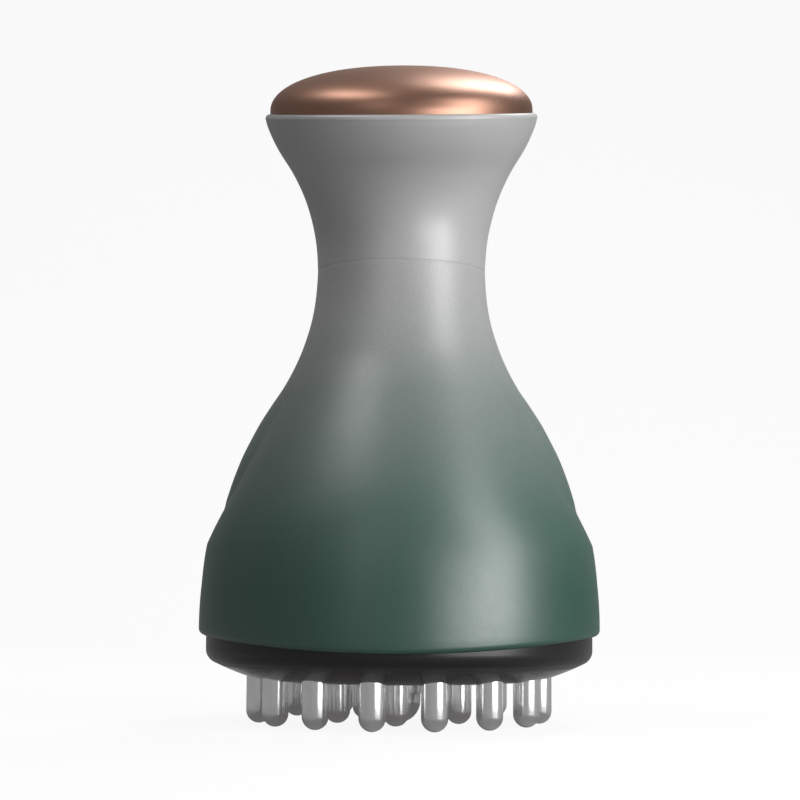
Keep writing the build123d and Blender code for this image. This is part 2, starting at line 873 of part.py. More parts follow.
def along_y(radius, y_low, y_high, height):
    """A round bar along Y in the middle plane at a height."""
    bar = Cylinder(radius, y_high - y_low, rotation=(90, 0, 0))
    return Pos(0, (y_low + y_high) / 2, height) * bar


def board_screw_heights():
    """Heights of the main board's screws, in the middle of the crossbars."""
    return (crossbar_low_height + crossbar_height / 2, crossbar_high_height + crossbar_height / 2)


def battery_cell():
    """Round cell standing in the neck."""
    body = disc(battery_radius, carrier_plate_top, battery_top)
    return fillet(body.edges().filter_by(GeomType.CIRCLE), battery_rounding)


def battery_pad():
    """Foam disc between the cell and the collar's deck."""
    return disc(battery_pad_radius, battery_top, deck_height)


def main_board():
    """Upright board behind the cell."""
    half = main_board_width / 2
    body = block(-half, half, crossbar_outer, main_board_outer, main_board_bottom, main_board_top)
    for height in board_screw_heights():
        body -= along_y(board_screw_radius, crossbar_outer, main_board_outer, height)
    return body


def main_chip():
    """Controller chip on the main board."""
    half = main_chip_size / 2
    outer = main_board_outer + main_chip_thickness
    return block(-half, half, main_board_outer, outer, main_chip_height - half, main_chip_height + half)


def board_screws():
    """Screws that hold the main board on the crossbars."""
    solids = []
    for height in board_screw_heights():
        head = main_board_outer + board_screw_head_height
        one = along_y(board_screw_head_radius, main_board_outer, head, height)
        one += along_y(board_screw_radius, crossbar_outer - board_screw_depth, main_board_outer, height)
        solids.append(one)
    return Compound(solids)


def collar_screws():
    """Screws through the collar's deck into the rails."""
    solids = []
    for side in (-1, 1):
        depth = deck_thickness + collar_screw_depth - overrun
        one = screw(collar_screw_radius, collar_screw_head_radius, collar_screw_head_height, depth)
        solids.append(Pos(side * rail_screw_offset(), 0, deck_top) * one)
    return Compound(solids)


# Head

def dome_solid(radius, height, base, flat):
    """A flattened dome over a base level, its outline a superellipse, cut flat at a level."""
    points = []
    steps = 12
    for index in range(steps + 1):
        turn = math.pi / 2 * index / steps
        across = radius * math.cos(turn) ** (2 / head_power)
        points.append((across, base + height * math.sin(turn) ** (2 / head_power)))
    points[-1] = (0, base + height)
    curve = Spline(points, tangents=((0, 1), (-1, 0)))
    sides = Polyline((0, base + height), (0, base), (radius, base))
    body = revolve(Plane.XZ * make_face([curve, sides]), Axis.Z)
    return body & disc(2 * radius, base - overrun, flat)


def scraping_head():
    """Rose-gold metal dome, hollow underneath, with bosses for the carrier's screws."""
    skirt_base = -head_skirt_depth
    dome_height = head_height - head_skirt_height
    body = dome_solid(head_radius, dome_height, head_skirt_height, head_height + overrun)
    body += disc(head_radius, skirt_base, head_skirt_height)
    body -= dome_solid(head_cavity_radius, head_cavity_height, skirt_base, head_land_height)
    inside = dome_solid(head_cavity_radius + carrier_fit, head_cavity_height, skirt_base, head_height)
    for x, y in around(head_boss_circle_radius, head_boss_count, 0):
        boss = Pos(x, y, 0) * disc(head_boss_radius, skirt_base, head_height)
        body += boss & inside
        depth = skirt_base + carrier_screw_depth
        body -= Pos(x, y, 0) * disc(carrier_screw_radius, skirt_base, depth)
    return rim_plane * body


def carrier_levels():
    """Bottom and top of the head carrier, counted from the rim."""
    top = -head_skirt_depth
    return top - carrier_thickness, top


def head_carrier():
    """Plastic disc under the dome with three snap legs that hook under the collar's ledge."""
    bottom, top = carrier_levels()
    body = disc(carrier_radius, bottom, top)
    leg_outer = ledge_inner_radius - snap_gap
    leg_bottom = -plug_seat_depth - ledge_thickness - snap_gap - snap_hook_height
    legs = ring(leg_outer, leg_outer - snap_thickness, leg_bottom, bottom)
    hook_top = leg_bottom + snap_hook_height
    legs += ring(leg_outer + snap_hook, leg_outer - snap_thickness, leg_bottom, hook_top)
    for index in range(snap_count):
        slab = block(-snap_half_width, snap_half_width, 0, carrier_radius, leg_bottom, bottom)
        body += legs & (Rot(0, 0, (index + 1 / 2) * 360 / snap_count) * slab)
    for x, y in around(head_boss_circle_radius, head_boss_count, 0):
        body -= Pos(x, y, 0) * disc(carrier_screw_radius, bottom, top)
    body -= lead_shaft_hole(bottom, top)
    return rim_plane * body


def lead_shaft_hole(bottom, top):
    """Hole for the heater's lead in what lies under the heater."""
    return Pos(0, heater_lead_offset(), 0) * disc(lead_radius + lead_hole_gap, bottom, top)


def heater_lead_offset():
    """How far behind the rim's centre the heater's lead comes up."""
    return heater_pad_radius / 2


def carrier_bolts():
    """Screws through the carrier into the dome's bosses."""
    bottom, top = carrier_levels()
    solids = []
    for x, y in around(head_boss_circle_radius, head_boss_count, 0):
        shank = disc(carrier_screw_radius, bottom, top + carrier_screw_depth)
        head = disc(carrier_screw_head_radius, bottom - carrier_screw_head_height, bottom)
        solids.append(rim_plane * Pos(x, y, 0) * (shank + head))
    return Compound(solids)


def head_seal():
    """Flat ring between the carrier and the collar's ledge."""
    bottom = carrier_levels()[0]
    ledge = -plug_seat_depth
    outer = carrier_radius - carrier_fit
    return rim_plane * ring(outer, ledge_inner_radius + carrier_fit, ledge, bottom)


def head_heater():
    """Heating disc against the flat land inside the dome."""
    return rim_disc(heater_radius, head_land_height - heater_thickness, head_land_height)


def heater_pad():
    """Foam that presses the heater up from the carrier."""
    top = head_land_height - heater_thickness
    body = disc(heater_pad_radius, -head_skirt_depth, top)
    body -= lead_shaft_hole(-head_skirt_depth, top)
    return rim_plane * body


# Control panel

def button_levels():
    """Top of a button's flange and its underside, on the panel's plane."""
    top = -panel_depth - button_seat_gap
    return top, top - button_flange_thickness


def switch_top():
    """Level of the switches' plungers, just under the pressed button."""
    return button_levels()[1] - button_travel - switch_gap


def key_board_levels():
    """Bottom and top of the key board."""
    top = switch_top() - switch_plunger_height - switch_height
    return top - board_thickness, top


def control_panel(grown, drawn_in):
    """Black panel flush in the back of the shoulder, with a flange and two bosses behind it."""
    body = panel_prism(0, -panel_depth, panel_depth) & grown
    flange = panel_prism(panel_flange, -panel_depth, panel_depth) & drawn_in
    body += flange
    for place in (-panel_boss_place, panel_boss_place):
        body += panel_disc(place, panel_boss_radius, key_board_levels()[1], -panel_depth)
        pilot_bottom = key_board_levels()[1]
        body -= panel_disc(place, small_screw_radius, pilot_bottom, pilot_bottom + small_screw_depth)
    for place, radius in button_table():
        body -= panel_disc(place, radius + button_fit, -panel_depth, panel_depth)
    body -= indicator_prism(indicator_fit, -panel_depth, panel_depth)
    return body


def button_table():
    """Place and radius of the two buttons."""
    return ((power_button_place, power_button_radius), (mode_button_place, mode_button_radius))


def indicator_prism(margin, low, high):
    """The indicator's long round shape."""
    shape = SlotOverall(indicator_length + 2 * margin, indicator_width + 2 * margin)
    return panel_plane * Pos(0, indicator_place, low) * extrude(shape, amount=high - low)


def indicator_window():
    """Clear light guide in the panel, with a foot on the panel's rear face."""
    body = indicator_prism(0, -panel_depth, surface_rise(indicator_place) + panel_proud)
    foot = indicator_prism(switch_plunger_height, -panel_depth - switch_plunger_height, -panel_depth)
    return body + foot


def panel_seal(inner, drawn_in):
    """Soft ring between the shell and the panel's flange."""
    body = panel_prism(panel_flange, -panel_depth, panel_depth) & inner
    body -= panel_prism(panel_fit, -2 * panel_depth, 2 * panel_depth)
    return body - drawn_in


def push_button(place, radius):
    """A round button with a rounded edge and a flange behind the panel."""
    flange_top, bottom = button_levels()
    top = surface_rise(place) + button_proud
    cap = disc(radius, flange_top, top)
    cap = fillet(edges_at(cap, top), button_rounding)
    cap += disc(radius + button_flange, bottom, flange_top)
    return panel_plane * Pos(0, place, 0) * cap


def key_switches():
    """Two small switches on the key board under the buttons."""
    solids = []
    board_top = key_board_levels()[1]
    half = switch_size / 2
    for place, radius in button_table():
        body = block(-half, half, -half, half, board_top, board_top + switch_height)
        body += disc(switch_plunger_radius, board_top + switch_height, switch_top())
        solids.append(panel_plane * Pos(0, place, 0) * body)
    return Compound(solids)


def key_board():
    """Small board on the panel's bosses."""
    bottom, top = key_board_levels()
    half_width = key_board_width / 2
    half_length = panel_boss_place + key_board_end
    body = panel_plane * block(-half_width, half_width, -half_length, half_length, bottom, top)
    for place in (-panel_boss_place, panel_boss_place):
        body -= panel_disc(place, small_screw_radius, bottom, top)
    return body


def small_screw():
    """A small screw through a board, its head on height zero."""
    depth = board_thickness + small_screw_depth
    return screw(small_screw_radius, small_screw_head_radius, small_screw_head_height, depth)


def small_screws():
    """Screws that hold the key board on the panel and the socket board on its posts."""
    solids = []
    bottom = key_board_levels()[0]
    for place in (-panel_boss_place, panel_boss_place):
        solids.append(panel_plane * Pos(0, place, bottom) * Rot(180, 0, 0) * small_screw())
    for x, y in socket_post_places():
        solids.append(Pos(x, y, socket_board_bottom() + board_thickness) * small_screw())
    return Compound(solids)


# Charging socket

def socket_front():
    """Where the socket's mouth is along Y, just inside the shell's wall."""
    return drum_radius_at(socket_height) - shell_wall - socket_wall_gap


def socket_board_bottom():
    """Level of the socket board's underside."""
    return socket_height - socket_thickness / 2 - board_thickness


def socket_post_places():
    """Where the socket board's posts stand on the foot plate."""
    y = socket_front() - socket_post_setback
    return ((-socket_post_offset, y), (socket_post_offset, y))


def charging_socket():
    """Metal sleeve of the charging socket with its tongue."""
    front = socket_front()
    rear = front - socket_depth
    body = port_prism(0, rear, front)
    body -= port_prism(-socket_metal, rear + socket_back, front + overrun)
    half = socket_tongue_width / 2
    thick = socket_tongue_thickness / 2
    tongue_end = rear + socket_back + socket_tongue_length
    body += block(-half, half, rear, tongue_end, socket_height - thick, socket_height + thick)
    return body


def socket_board():
    """Board under the charging socket."""
    bottom = socket_board_bottom()
    front = socket_front() - socket_board_inset
    half = socket_board_width / 2
    body = block(-half, half, front - socket_board_length, front, bottom, bottom + board_thickness)
    for x, y in socket_post_places():
        body -= Pos(x, y, 0) * disc(small_screw_radius, bottom, bottom + board_thickness)
    return body


# Leads

def swept_lead(points):
    """A round lead along straight runs with as large a bend as each corner allows."""
    vectors = [Vector(*point) for point in points]
    radii = []
    for before, corner, after in zip(vectors, vectors[1:], vectors[2:]):
        turn = math.radians((corner - before).get_angle(after - corner))
        shorter = min((corner - before).length, (after - corner).length)
        radii.append(lead_bend_share * shorter / math.tan(turn / 2))
    path = FilletPolyline(*points, radius=radii)
    start = Plane(origin=path @ 0, z_dir=path % 0)
    return sweep(start * Circle(lead_radius), path=path)


def heater_lead():
    """Lead from the main board's top edge through the deck and up to the heater."""
    level = head_land_height - heater_thickness
    end = rim_plane.from_local_coords(Vector(0, heater_lead_offset(), level))
    bend = rim_plane.from_local_coords(Vector(0, heater_lead_offset(), level - lead_head_run))
    start = (0, main_board_middle, main_board_top)
    corner = (0, main_board_middle, deck_top + lead_rise_over_deck)
    return swept_lead([start, corner, (0, bend.Y, bend.Z), (0, end.Y, end.Z)])


def nodes():
    """Every sub-part under its node name."""
    outer = housing_body(0)
    inner = housing_body(shell_wall)
    drawn_in = housing_body(shell_wall + panel_seal_thickness)
    grown = housing_body(-panel_proud)
    parts = {
        "lower_shell": lower_shell(outer, inner),
        "upper_collar": upper_collar(),
        "scraping_head": scraping_head(),
        "head_carrier": head_carrier(),
        "head_carrier_screws": carrier_bolts(),
        "head_seal": head_seal(),
        "head_heater": head_heater(),
        "heater_pad": heater_pad(),
        "base_cover": base_cover(),
        "base_seal": base_seal(),
        "centre_post": centre_post(),
        "light_window": light_window(),
        "light_emitters": light_emitters(),
        "contact_board": contact_board(),
        "foot_frame": foot_frame(),
        "frame_screws": frame_screws(),
        "battery_carrier": battery_carrier(),
        "battery_cell": battery_cell(),
        "battery_pad": battery_pad(),
        "main_board": main_board(),
        "main_chip": main_chip(),
        "main_board_screws": board_screws(),
        "collar_screws": collar_screws(),
        "motor_can": motor_can(),
        "motor_shaft": motor_shaft(),
        "eccentric_weight": eccentric_weight(),
        "motor_clamp": motor_clamp(),
        "motor_clamp_screws": clamp_screws(),
        "control_panel": control_panel(grown, drawn_in),
        "panel_seal": panel_seal(inner, drawn_in),
        "indicator_window": indicator_window(),
        "power_button": push_button(power_button_place, power_button_radius),
        "mode_button": push_button(mode_button_place, mode_button_radius),
        "key_switches": key_switches(),
        "key_board": key_board(),
        "small_board_screws": small_screws(),
        "charging_socket": charging_socket(),
        "socket_board": socket_board(),
        "heater_lead": heater_lead(),
    }
    for number, (x, y) in enumerate(outer_post_places(), start=1):
        parts[f"outer_post_{number:02d}"] = Pos(x, y, 0) * post()
    for number, (x, y) in enumerate(inner_post_places(), start=1):
        parts[f"inner_post_{number}"] = Pos(x, y, 0) * post()
    return parts


os.makedirs("parts", exist_ok=True)
for name, part in nodes().items():
    export_step(part, f"parts/{name}.step")
    print(name, "volume", round(part.volume, 1))
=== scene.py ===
"""Looks of an electric gua sha massager: smooth shells, finishes, studio light and camera.

Shapes are worked out in millimetres, +Z up, origin on the axis at the tips of the posts, front
towards -Y, and go into the meshes in metres.
"""

import logging
import math
from dataclasses import dataclass, field
from enum import Enum
from functools import cache

import bmesh
import bpy
import numpy as np
from mathutils import Matrix

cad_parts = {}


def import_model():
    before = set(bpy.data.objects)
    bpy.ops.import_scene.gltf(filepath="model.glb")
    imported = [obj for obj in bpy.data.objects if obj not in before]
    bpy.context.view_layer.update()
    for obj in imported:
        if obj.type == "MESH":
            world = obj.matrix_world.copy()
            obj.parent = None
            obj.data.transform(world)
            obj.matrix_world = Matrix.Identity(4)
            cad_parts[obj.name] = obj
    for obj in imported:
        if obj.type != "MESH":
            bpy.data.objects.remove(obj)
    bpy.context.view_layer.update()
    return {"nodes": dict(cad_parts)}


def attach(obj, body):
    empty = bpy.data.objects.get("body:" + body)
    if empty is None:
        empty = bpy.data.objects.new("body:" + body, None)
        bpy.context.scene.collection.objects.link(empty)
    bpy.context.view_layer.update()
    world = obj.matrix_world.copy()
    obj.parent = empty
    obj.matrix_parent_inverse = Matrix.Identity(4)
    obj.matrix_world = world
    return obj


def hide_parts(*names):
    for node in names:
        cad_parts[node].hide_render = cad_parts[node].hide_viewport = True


Array = np.ndarray
Colour = tuple[float, float, float]

MILLIMETRE = 0.001

log = logging.getLogger("massager")


class Body(Enum):
    """Bodies of the frame that pieces ride on."""

    HOUSING = "housing"
    POWER_BUTTON = "power_button"
    MODE_BUTTON = "mode_button"


# Curves and grids


@dataclass(frozen=True)
class HeightTable:
    """A value that changes smoothly with height, given at a few heights."""

    heights: tuple[float, ...]
    values: tuple[float, ...]
    monotone: bool = False

    def slopes(self) -> Array:
        """Slope at each given height.

        A monotone table takes the harmonic mean of the slopes on both sides, so that it never
        overshoots. Another solves the natural cubic spline, whose bending is continuous.

        Returns:
            One slope per given height.
        """
        x, y = np.array(self.heights), np.array(self.values)
        step, rise = np.diff(x), np.diff(y) / np.diff(x)
        if self.monotone:
            product = rise[:-1] * rise[1:]
            total = np.where(product > 0, rise[:-1] + rise[1:], 1.0)
            inner = np.where(product > 0, 2 * product / total, 0.0)
            return np.concatenate([[rise[0]], inner, [rise[-1]]])
        count = len(x)
        matrix = np.zeros((count, count))
        right = np.zeros(count)
        matrix[0, :2], right[0] = (2, 1), 3 * rise[0]
        matrix[-1, -2:], right[-1] = (1, 2), 3 * rise[-1]
        rows = np.arange(1, count - 1)
        matrix[rows, rows - 1] = step[1:]
        matrix[rows, rows] = 2 * (step[:-1] + step[1:])
        matrix[rows, rows + 1] = step[:-1]
        right[rows] = 3 * (step[1:] * rise[:-1] + step[:-1] * rise[1:])
        return np.linalg.solve(matrix, right)

    def at(self, height: Array) -> Array:
        """Value at each height, by the cubic through both neighbours with their slopes.

        Args:
            height: Heights in millimetres, of any shape.

        Returns:
            The values, in the shape of the heights.
        """
        x, y, slope = np.array(self.heights), np.array(self.values), self.slopes()
        inside = np.clip(height, x[0], x[-1])
        low = np.clip(np.searchsorted(x, inside, side="right") - 1, 0, len(x) - 2)
        step = x[low + 1] - x[low]
        t = (inside - x[low]) / step
        start = (1 + 2 * t) * (1 - t) ** 2 * y[low] + t * (1 - t) ** 2 * step * slope[low]
        end = t**2 * (3 - 2 * t) * y[low + 1] + t**2 * (t - 1) * step * slope[low + 1]
        return start + end


@dataclass(frozen=True)
class Place:
    """A place in the object: an origin and the directions of its own three axes."""

    origin: tuple[float, float, float]
    across: tuple[float, float, float] = (1, 0, 0)
    along: tuple[float, float, float] = (0, 1, 0)
    out: tuple[float, float, float] = (0, 0, 1)

    def put(self, points: Array) -> Array:
        """Points of this place in the object: origin plus each coordinate along its axis."""
        return np.array(self.origin) + points @ np.array([self.across, self.along, self.out])


def rounded_path(corners: list[tuple[float, float, float]], steps: int = 6) -> Array:
    """Line through corners, each turned into an arc that touches both of its sides.

    The arc's middle lies on the bisector at radius / sin(half the corner's angle), and its points
    swing from one touching point to the other by the two-vector sine rule.

    Args:
        corners: Distance from the axis, height and rounding radius of each corner.
        steps: Points minus one on each arc.

    Returns:
        Rows of distance from the axis and height.
    """
    spots = np.array(corners)[:, :2]
    runs = [spots[:1]]
    for before, (across, height, radius), after in zip(spots, corners[1:-1], spots[2:]):
        corner = np.array([across, height])
        if radius == 0:
            runs.append(corner[None])
            continue
        back = (before - corner) / np.linalg.norm(before - corner)
        ahead = (after - corner) / np.linalg.norm(after - corner)
        half = math.acos(float(np.clip(back @ ahead, -1, 1))) / 2
        bisector = (back + ahead) / np.linalg.norm(back + ahead)
        middle = corner + bisector * radius / math.sin(half)
        first = corner + back * radius / math.tan(half) - middle
        last = corner + ahead * radius / math.tan(half) - middle
        swing = math.pi - 2 * half
        t = np.linspace(0, 1, steps + 1)[:, None]
        arc = (np.sin((1 - t) * swing) * first + np.sin(t * swing) * last) / math.sin(swing)
        runs.append(middle + arc)
    runs.append(spots[-1:])
    return np.concatenate(runs)


def filled_path(path: Array, longest: float) -> Array:
    """Add evenly spaced points to the long runs of a line.

    Args:
        path: Rows of distance from the axis and height.
        longest: Longest run that stays undivided.

    Returns:
        The line with no run longer than that.
    """
    runs = [path[:1]]
    for start, end in zip(path, path[1:]):
        count = max(1, math.ceil(float(np.linalg.norm(end - start)) / longest))
        t = np.arange(1, count + 1)[:, None] / count
        runs.append(start + (end - start) * t)
    return np.concatenate(runs)


def ring_angles(columns: int) -> Array:
    """Angles of evenly spaced points round a ring."""
    return np.linspace(0, 2 * math.pi, columns, endpoint=False)


def side_by_side(*columns: Array | float) -> Array:
    """Rows made of columns; a number or a smaller array fills its whole column."""
    return np.stack(np.broadcast_arrays(*columns), -1).astype(float)


def outwards(angle: Array) -> Array:
    """Level direction at each angle, counted from the front: (sin a, -cos a)."""
    return side_by_side(np.sin(angle), -np.cos(angle))


def revolved(path: Array, columns: int) -> Array:
    """Surface of revolution: x = r sin(a), y = -r cos(a), z = the path's height.

    Args:
        path: Rows of distance from the axis and height.
        columns: Number of steps around the axis.

    Returns:
        Grid of points, one row per point of the path.
    """
    angle = ring_angles(columns)
    radius, height = path[:, :1], path[:, 1:]
    return side_by_side(radius * np.sin(angle), -radius * np.cos(angle), height)


def disc(radius: float, low: float, high: float, columns: int) -> Array:
    """Grid of a closed round disc on the axis, from a low to a high level."""
    path = [(0, low), (radius, low), (radius, high), (0, high)]
    return revolved(np.array(path, float), columns)


def prism(outline: Array, spine: Array, low: float, high: float) -> Array:
    """Closed prism that folds to its spine at both ends: spine + share (outline - spine).

    Args:
        outline: Level points round it.
        spine: Its middle, one point or one per point of the outline.
        low: Level of its first end.
        high: Level of its last end.

    Returns:
        Grid of points with the level last.
    """
    share = np.array([0, 1, 1, 0])[:, None]
    level = np.array([low, low, high, high])[:, None]
    first, second = (spine + share[..., None] * (outline - spine)).transpose(2, 0, 1)
    return side_by_side(first, second, level)


def long_round(half_length: float, half_width: float, margin: float, columns: int) -> Array:
    """Outline of a slot with round ends, grown by a margin."""
    angle = ring_angles(columns)
    straight = (half_length - half_width) * np.sign(np.cos(angle))
    radius = half_width + margin
    return side_by_side(straight + radius * np.cos(angle), radius * np.sin(angle))


def superellipse(radius: float, height: float, power: float, steps: int) -> Array:
    """Outline from the top to the rim: (cos a, sin a) each to the power 2 / power.

    Args:
        radius: Distance of the rim from the axis.
        height: Height of the top over the rim.
        power: 2 gives an ellipse, more gives fuller shoulders.
        steps: Points minus one.

    Returns:
        Rows of distance from the axis and height over the rim.
    """
    angle = np.linspace(math.pi / 2, 0, steps + 1)
    across = radius * np.clip(np.cos(angle), 0, 1) ** (2 / power)
    return np.stack([across, height * np.clip(np.sin(angle), 0, 1) ** (2 / power)], axis=-1)


def grid_faces(rows: int, columns: int, loop: bool, start: int = 0) -> Array:
    """Four corners of each cell in a grid whose columns close round.

    Args:
        rows: Number of rows.
        columns: Number of columns.
        loop: Whether the last row also joins the first.
        start: Number of the grid's first point.

    Returns:
        Rows of four point numbers.
    """
    row = np.arange(rows if loop else rows - 1)[:, None]
    column = np.arange(columns)[None]
    right = (column + 1) % columns
    below = (row + 1) % rows
    cells = [row * columns + column, row * columns + right, below * columns + right]
    cells.append(below * columns + column)
    return start + np.stack([cell + 0 * row + 0 * column for cell in cells], -1).reshape(-1, 4)


def add_object(name: str, data: bpy.types.ID) -> bpy.types.Object:
    """Put an object with this data into the scene."""
    item = bpy.data.objects.new(name, data)
    bpy.context.scene.collection.objects.link(item)
    return item


@dataclass
class Skin:
    """Closed surfaces that together make one piece."""

    points: list[Array] = field(default_factory=list)
    faces: list[Array] = field(default_factory=list)
    count: int = 0

    def add(self, grid: Array, loop: bool = False) -> "Skin":
        """Add a grid of points whose columns close round.

        Args:
            grid: Points in millimetres, rows by columns by three.
            loop: Whether its rows close round too.

        Returns:
            The skin itself, so that calls can follow each other.
        """
        rows, columns = grid.shape[:2]
        self.faces.append(grid_faces(rows, columns, loop, self.count))
        self.points.append(grid.reshape(-1, 3))
        self.count += rows * columns
        return self

    def mesh(self, name: str, sharp_degrees: float = 32) -> bpy.types.Mesh:
        """Merge doubled points, turn the faces outwards and shade them smooth.

        Args:
            name: Name of the mesh.
            sharp_degrees: Edges that turn more than this stay sharp.

        Returns:
            The mesh, in metres.
        """
        mesh = bpy.data.meshes.new(name)
        spots = np.concatenate(self.points) * MILLIMETRE
        mesh.from_pydata(spots.tolist(), [], np.concatenate(self.faces).tolist())
        merge_and_face_outwards(mesh, sharp_degrees)
        return mesh


def merge_and_face_outwards(mesh: bpy.types.Mesh, sharp_degrees: float) -> None:
    """Clean a mesh after it is built or cut.

    Args:
        mesh: The mesh to clean.
        sharp_degrees: Edges that turn more than this stay sharp.
    """
    work = bmesh.new()
    work.from_mesh(mesh)
    bmesh.ops.remove_doubles(work, verts=work.verts, dist=2e-6)
    bmesh.ops.dissolve_degenerate(work, edges=work.edges, dist=1e-7)
    bmesh.ops.recalc_face_normals(work, faces=work.faces)
    work.to_mesh(mesh)
    work.free()
    mesh.polygons.foreach_set("use_smooth", np.ones(len(mesh.polygons), bool))
    mesh.set_sharp_from_angle(angle=math.radians(sharp_degrees))


def cut(mesh: bpy.types.Mesh, cutter: Skin, sharp_degrees: float = 32) -> bpy.types.Mesh:
    """Take a cutter's closed shapes out of a closed mesh.

    Args:
        mesh: The mesh to cut.
        cutter: What is taken away.
        sharp_degrees: Edges that turn more than this stay sharp.

    Returns:
        A new mesh with the same name.
    """
    tool, body = add_object("cutter", cutter.mesh("cutter")), add_object("body", mesh)
    step = body.modifiers.new("cut", "BOOLEAN")
    step.operation, step.solver, step.object = "DIFFERENCE", "EXACT", tool
    graph = bpy.context.evaluated_depsgraph_get()
    result = bpy.data.meshes.new_from_object(body.evaluated_get(graph), depsgraph=graph)
    name = mesh.name
    for item in (tool, body):
        bpy.data.objects.remove(item)
    bpy.data.meshes.remove(mesh)
    result.name = name
    merge_and_face_outwards(result, sharp_degrees)
    return result


# Shader arithmetic and finishes


class Shade:
    """A shader socket that takes part in Python arithmetic."""

    def __init__(self, recipe: "Recipe", socket: bpy.types.NodeSocket) -> None:
        """Keep the socket with the recipe that its nodes go into."""
        self.recipe = recipe
        self.socket = socket

    def _math(self, operation: str, *terms: "Shade | float") -> "Shade":
        """Add one Math node over the given terms."""
        values = dict(enumerate(terms))
        return self.recipe.node("ShaderNodeMath", {"operation": operation}, values)

    def __add__(self, other: "Shade | float") -> "Shade":
        """Sum."""
        return self._math("ADD", self, other)

    def __sub__(self, other: "Shade | float") -> "Shade":
        """Difference."""
        return self._math("SUBTRACT", self, other)

    def __rsub__(self, other: float) -> "Shade":
        """Difference from a number."""
        return self._math("SUBTRACT", other, self)

    def __mul__(self, other: "Shade | float") -> "Shade":
        """Product."""
        return self._math("MULTIPLY", self, other)

    def __truediv__(self, other: "Shade | float") -> "Shade":
        """Quotient."""
        return self._math("DIVIDE", self, other)

    __radd__ = __add__
    __rmul__ = __mul__

    def larger(self, other: "Shade | float") -> "Shade":
        """The larger of two."""
        return self._math("MAXIMUM", self, other)

    def step(self, low: float, high: float) -> "Shade":
        """0 up to low, 1 from high, smooth between them."""
        return self.recipe.node(
            "ShaderNodeMapRange",
            {"interpolation_type": "SMOOTHSTEP"},
            {"Value": self, "From Min": low, "From Max": high},
        )


class Recipe:
    """The node tree of one material."""

    def __init__(self, name: str) -> None:
        """Start an empty material of this name."""
        self.material = bpy.data.materials.new(name)
        self.material.use_nodes = True
        self.tree = self.material.node_tree
        self.tree.nodes.clear()

    def node(
        self,
        kind: str,
        settings: dict[str, object] | None = None,
        values: dict[str | int, object] | None = None,
        output: str | int = 0,
    ) -> Shade:
        """Add a node, set it up, and fill or link its sockets.

        Args:
            kind: The node's type.
            settings: Its own settings, set first; "stops" fills a colour ramp.
            values: Numbers, colours or shades by socket name or number.
            output: Which output the result stands for.

        Returns:
            The chosen output.
        """
        made = self.tree.nodes.new(kind)
        for key, value in (settings or {}).items():
            if key == "stops":
                ramp = made.color_ramp
                for position, _ in value[len(ramp.elements) :]:
                    ramp.elements.new(position)
                for element, (position, colour) in zip(ramp.elements, value):
                    element.position, element.color = position, (*colour, 1)
            else:
                setattr(made, key, value)
        for key, value in (values or {}).items():
            if isinstance(value, Shade):
                self.tree.links.new(value.socket, made.inputs[key])
            elif isinstance(value, tuple) and made.inputs[key].type == "RGBA":
                made.inputs[key].default_value = (*value, 1)
            else:
                made.inputs[key].default_value = value
        return Shade(self, made.outputs[output] if len(made.outputs) else None)

    def spot(self) -> Shade:
        """Object coordinates, in metres."""
        return self.node("ShaderNodeTexCoord", output="Object")

    def axis(self, letter: str) -> Shade:
        """One object coordinate, in millimetres."""
        split = self.node("ShaderNodeSeparateXYZ", None, {0: self.spot()}, letter)
        return split * (1 / MILLIMETRE)

    def noise(self, size: float, detail: float = 3) -> Shade:
        """Cloudy pattern between 0 and 1 whose patches have this size in millimetres."""
        values = {"Vector": self.spot(), "Scale": 1 / (size * MILLIMETRE), "Detail": detail}
        return self.node("ShaderNodeTexNoise", {"noise_dimensions": "3D"}, values, "Fac")

    def mix(self, share: Shade | float, low: Shade | Colour, high: Shade | Colour) -> Shade:
        """Colour between two colours, the first one where the share is 0."""
        values = {0: share, 6: low, 7: high}
        return self.node("ShaderNodeMix", {"data_type": "RGBA"}, values, 2)

    def bump(self, height: Shade, depth: float) -> Shade:
        """Normal of a surface that rises by a depth in millimetres where the height is 1."""
        values = {"Height": height, "Distance": depth * MILLIMETRE}
        return self.node("ShaderNodeBump", None, values)

    def finish(self, values: dict[str | int, object]) -> bpy.types.Material:
        """Close the tree with the main surface shader.

        Args:
            values: Its sockets.

        Returns:
            The material.
        """
        surface = self.node("ShaderNodeBsdfPrincipled", None, values)
        self.node("ShaderNodeOutputMaterial", None, {"Surface": surface})
        return self.material


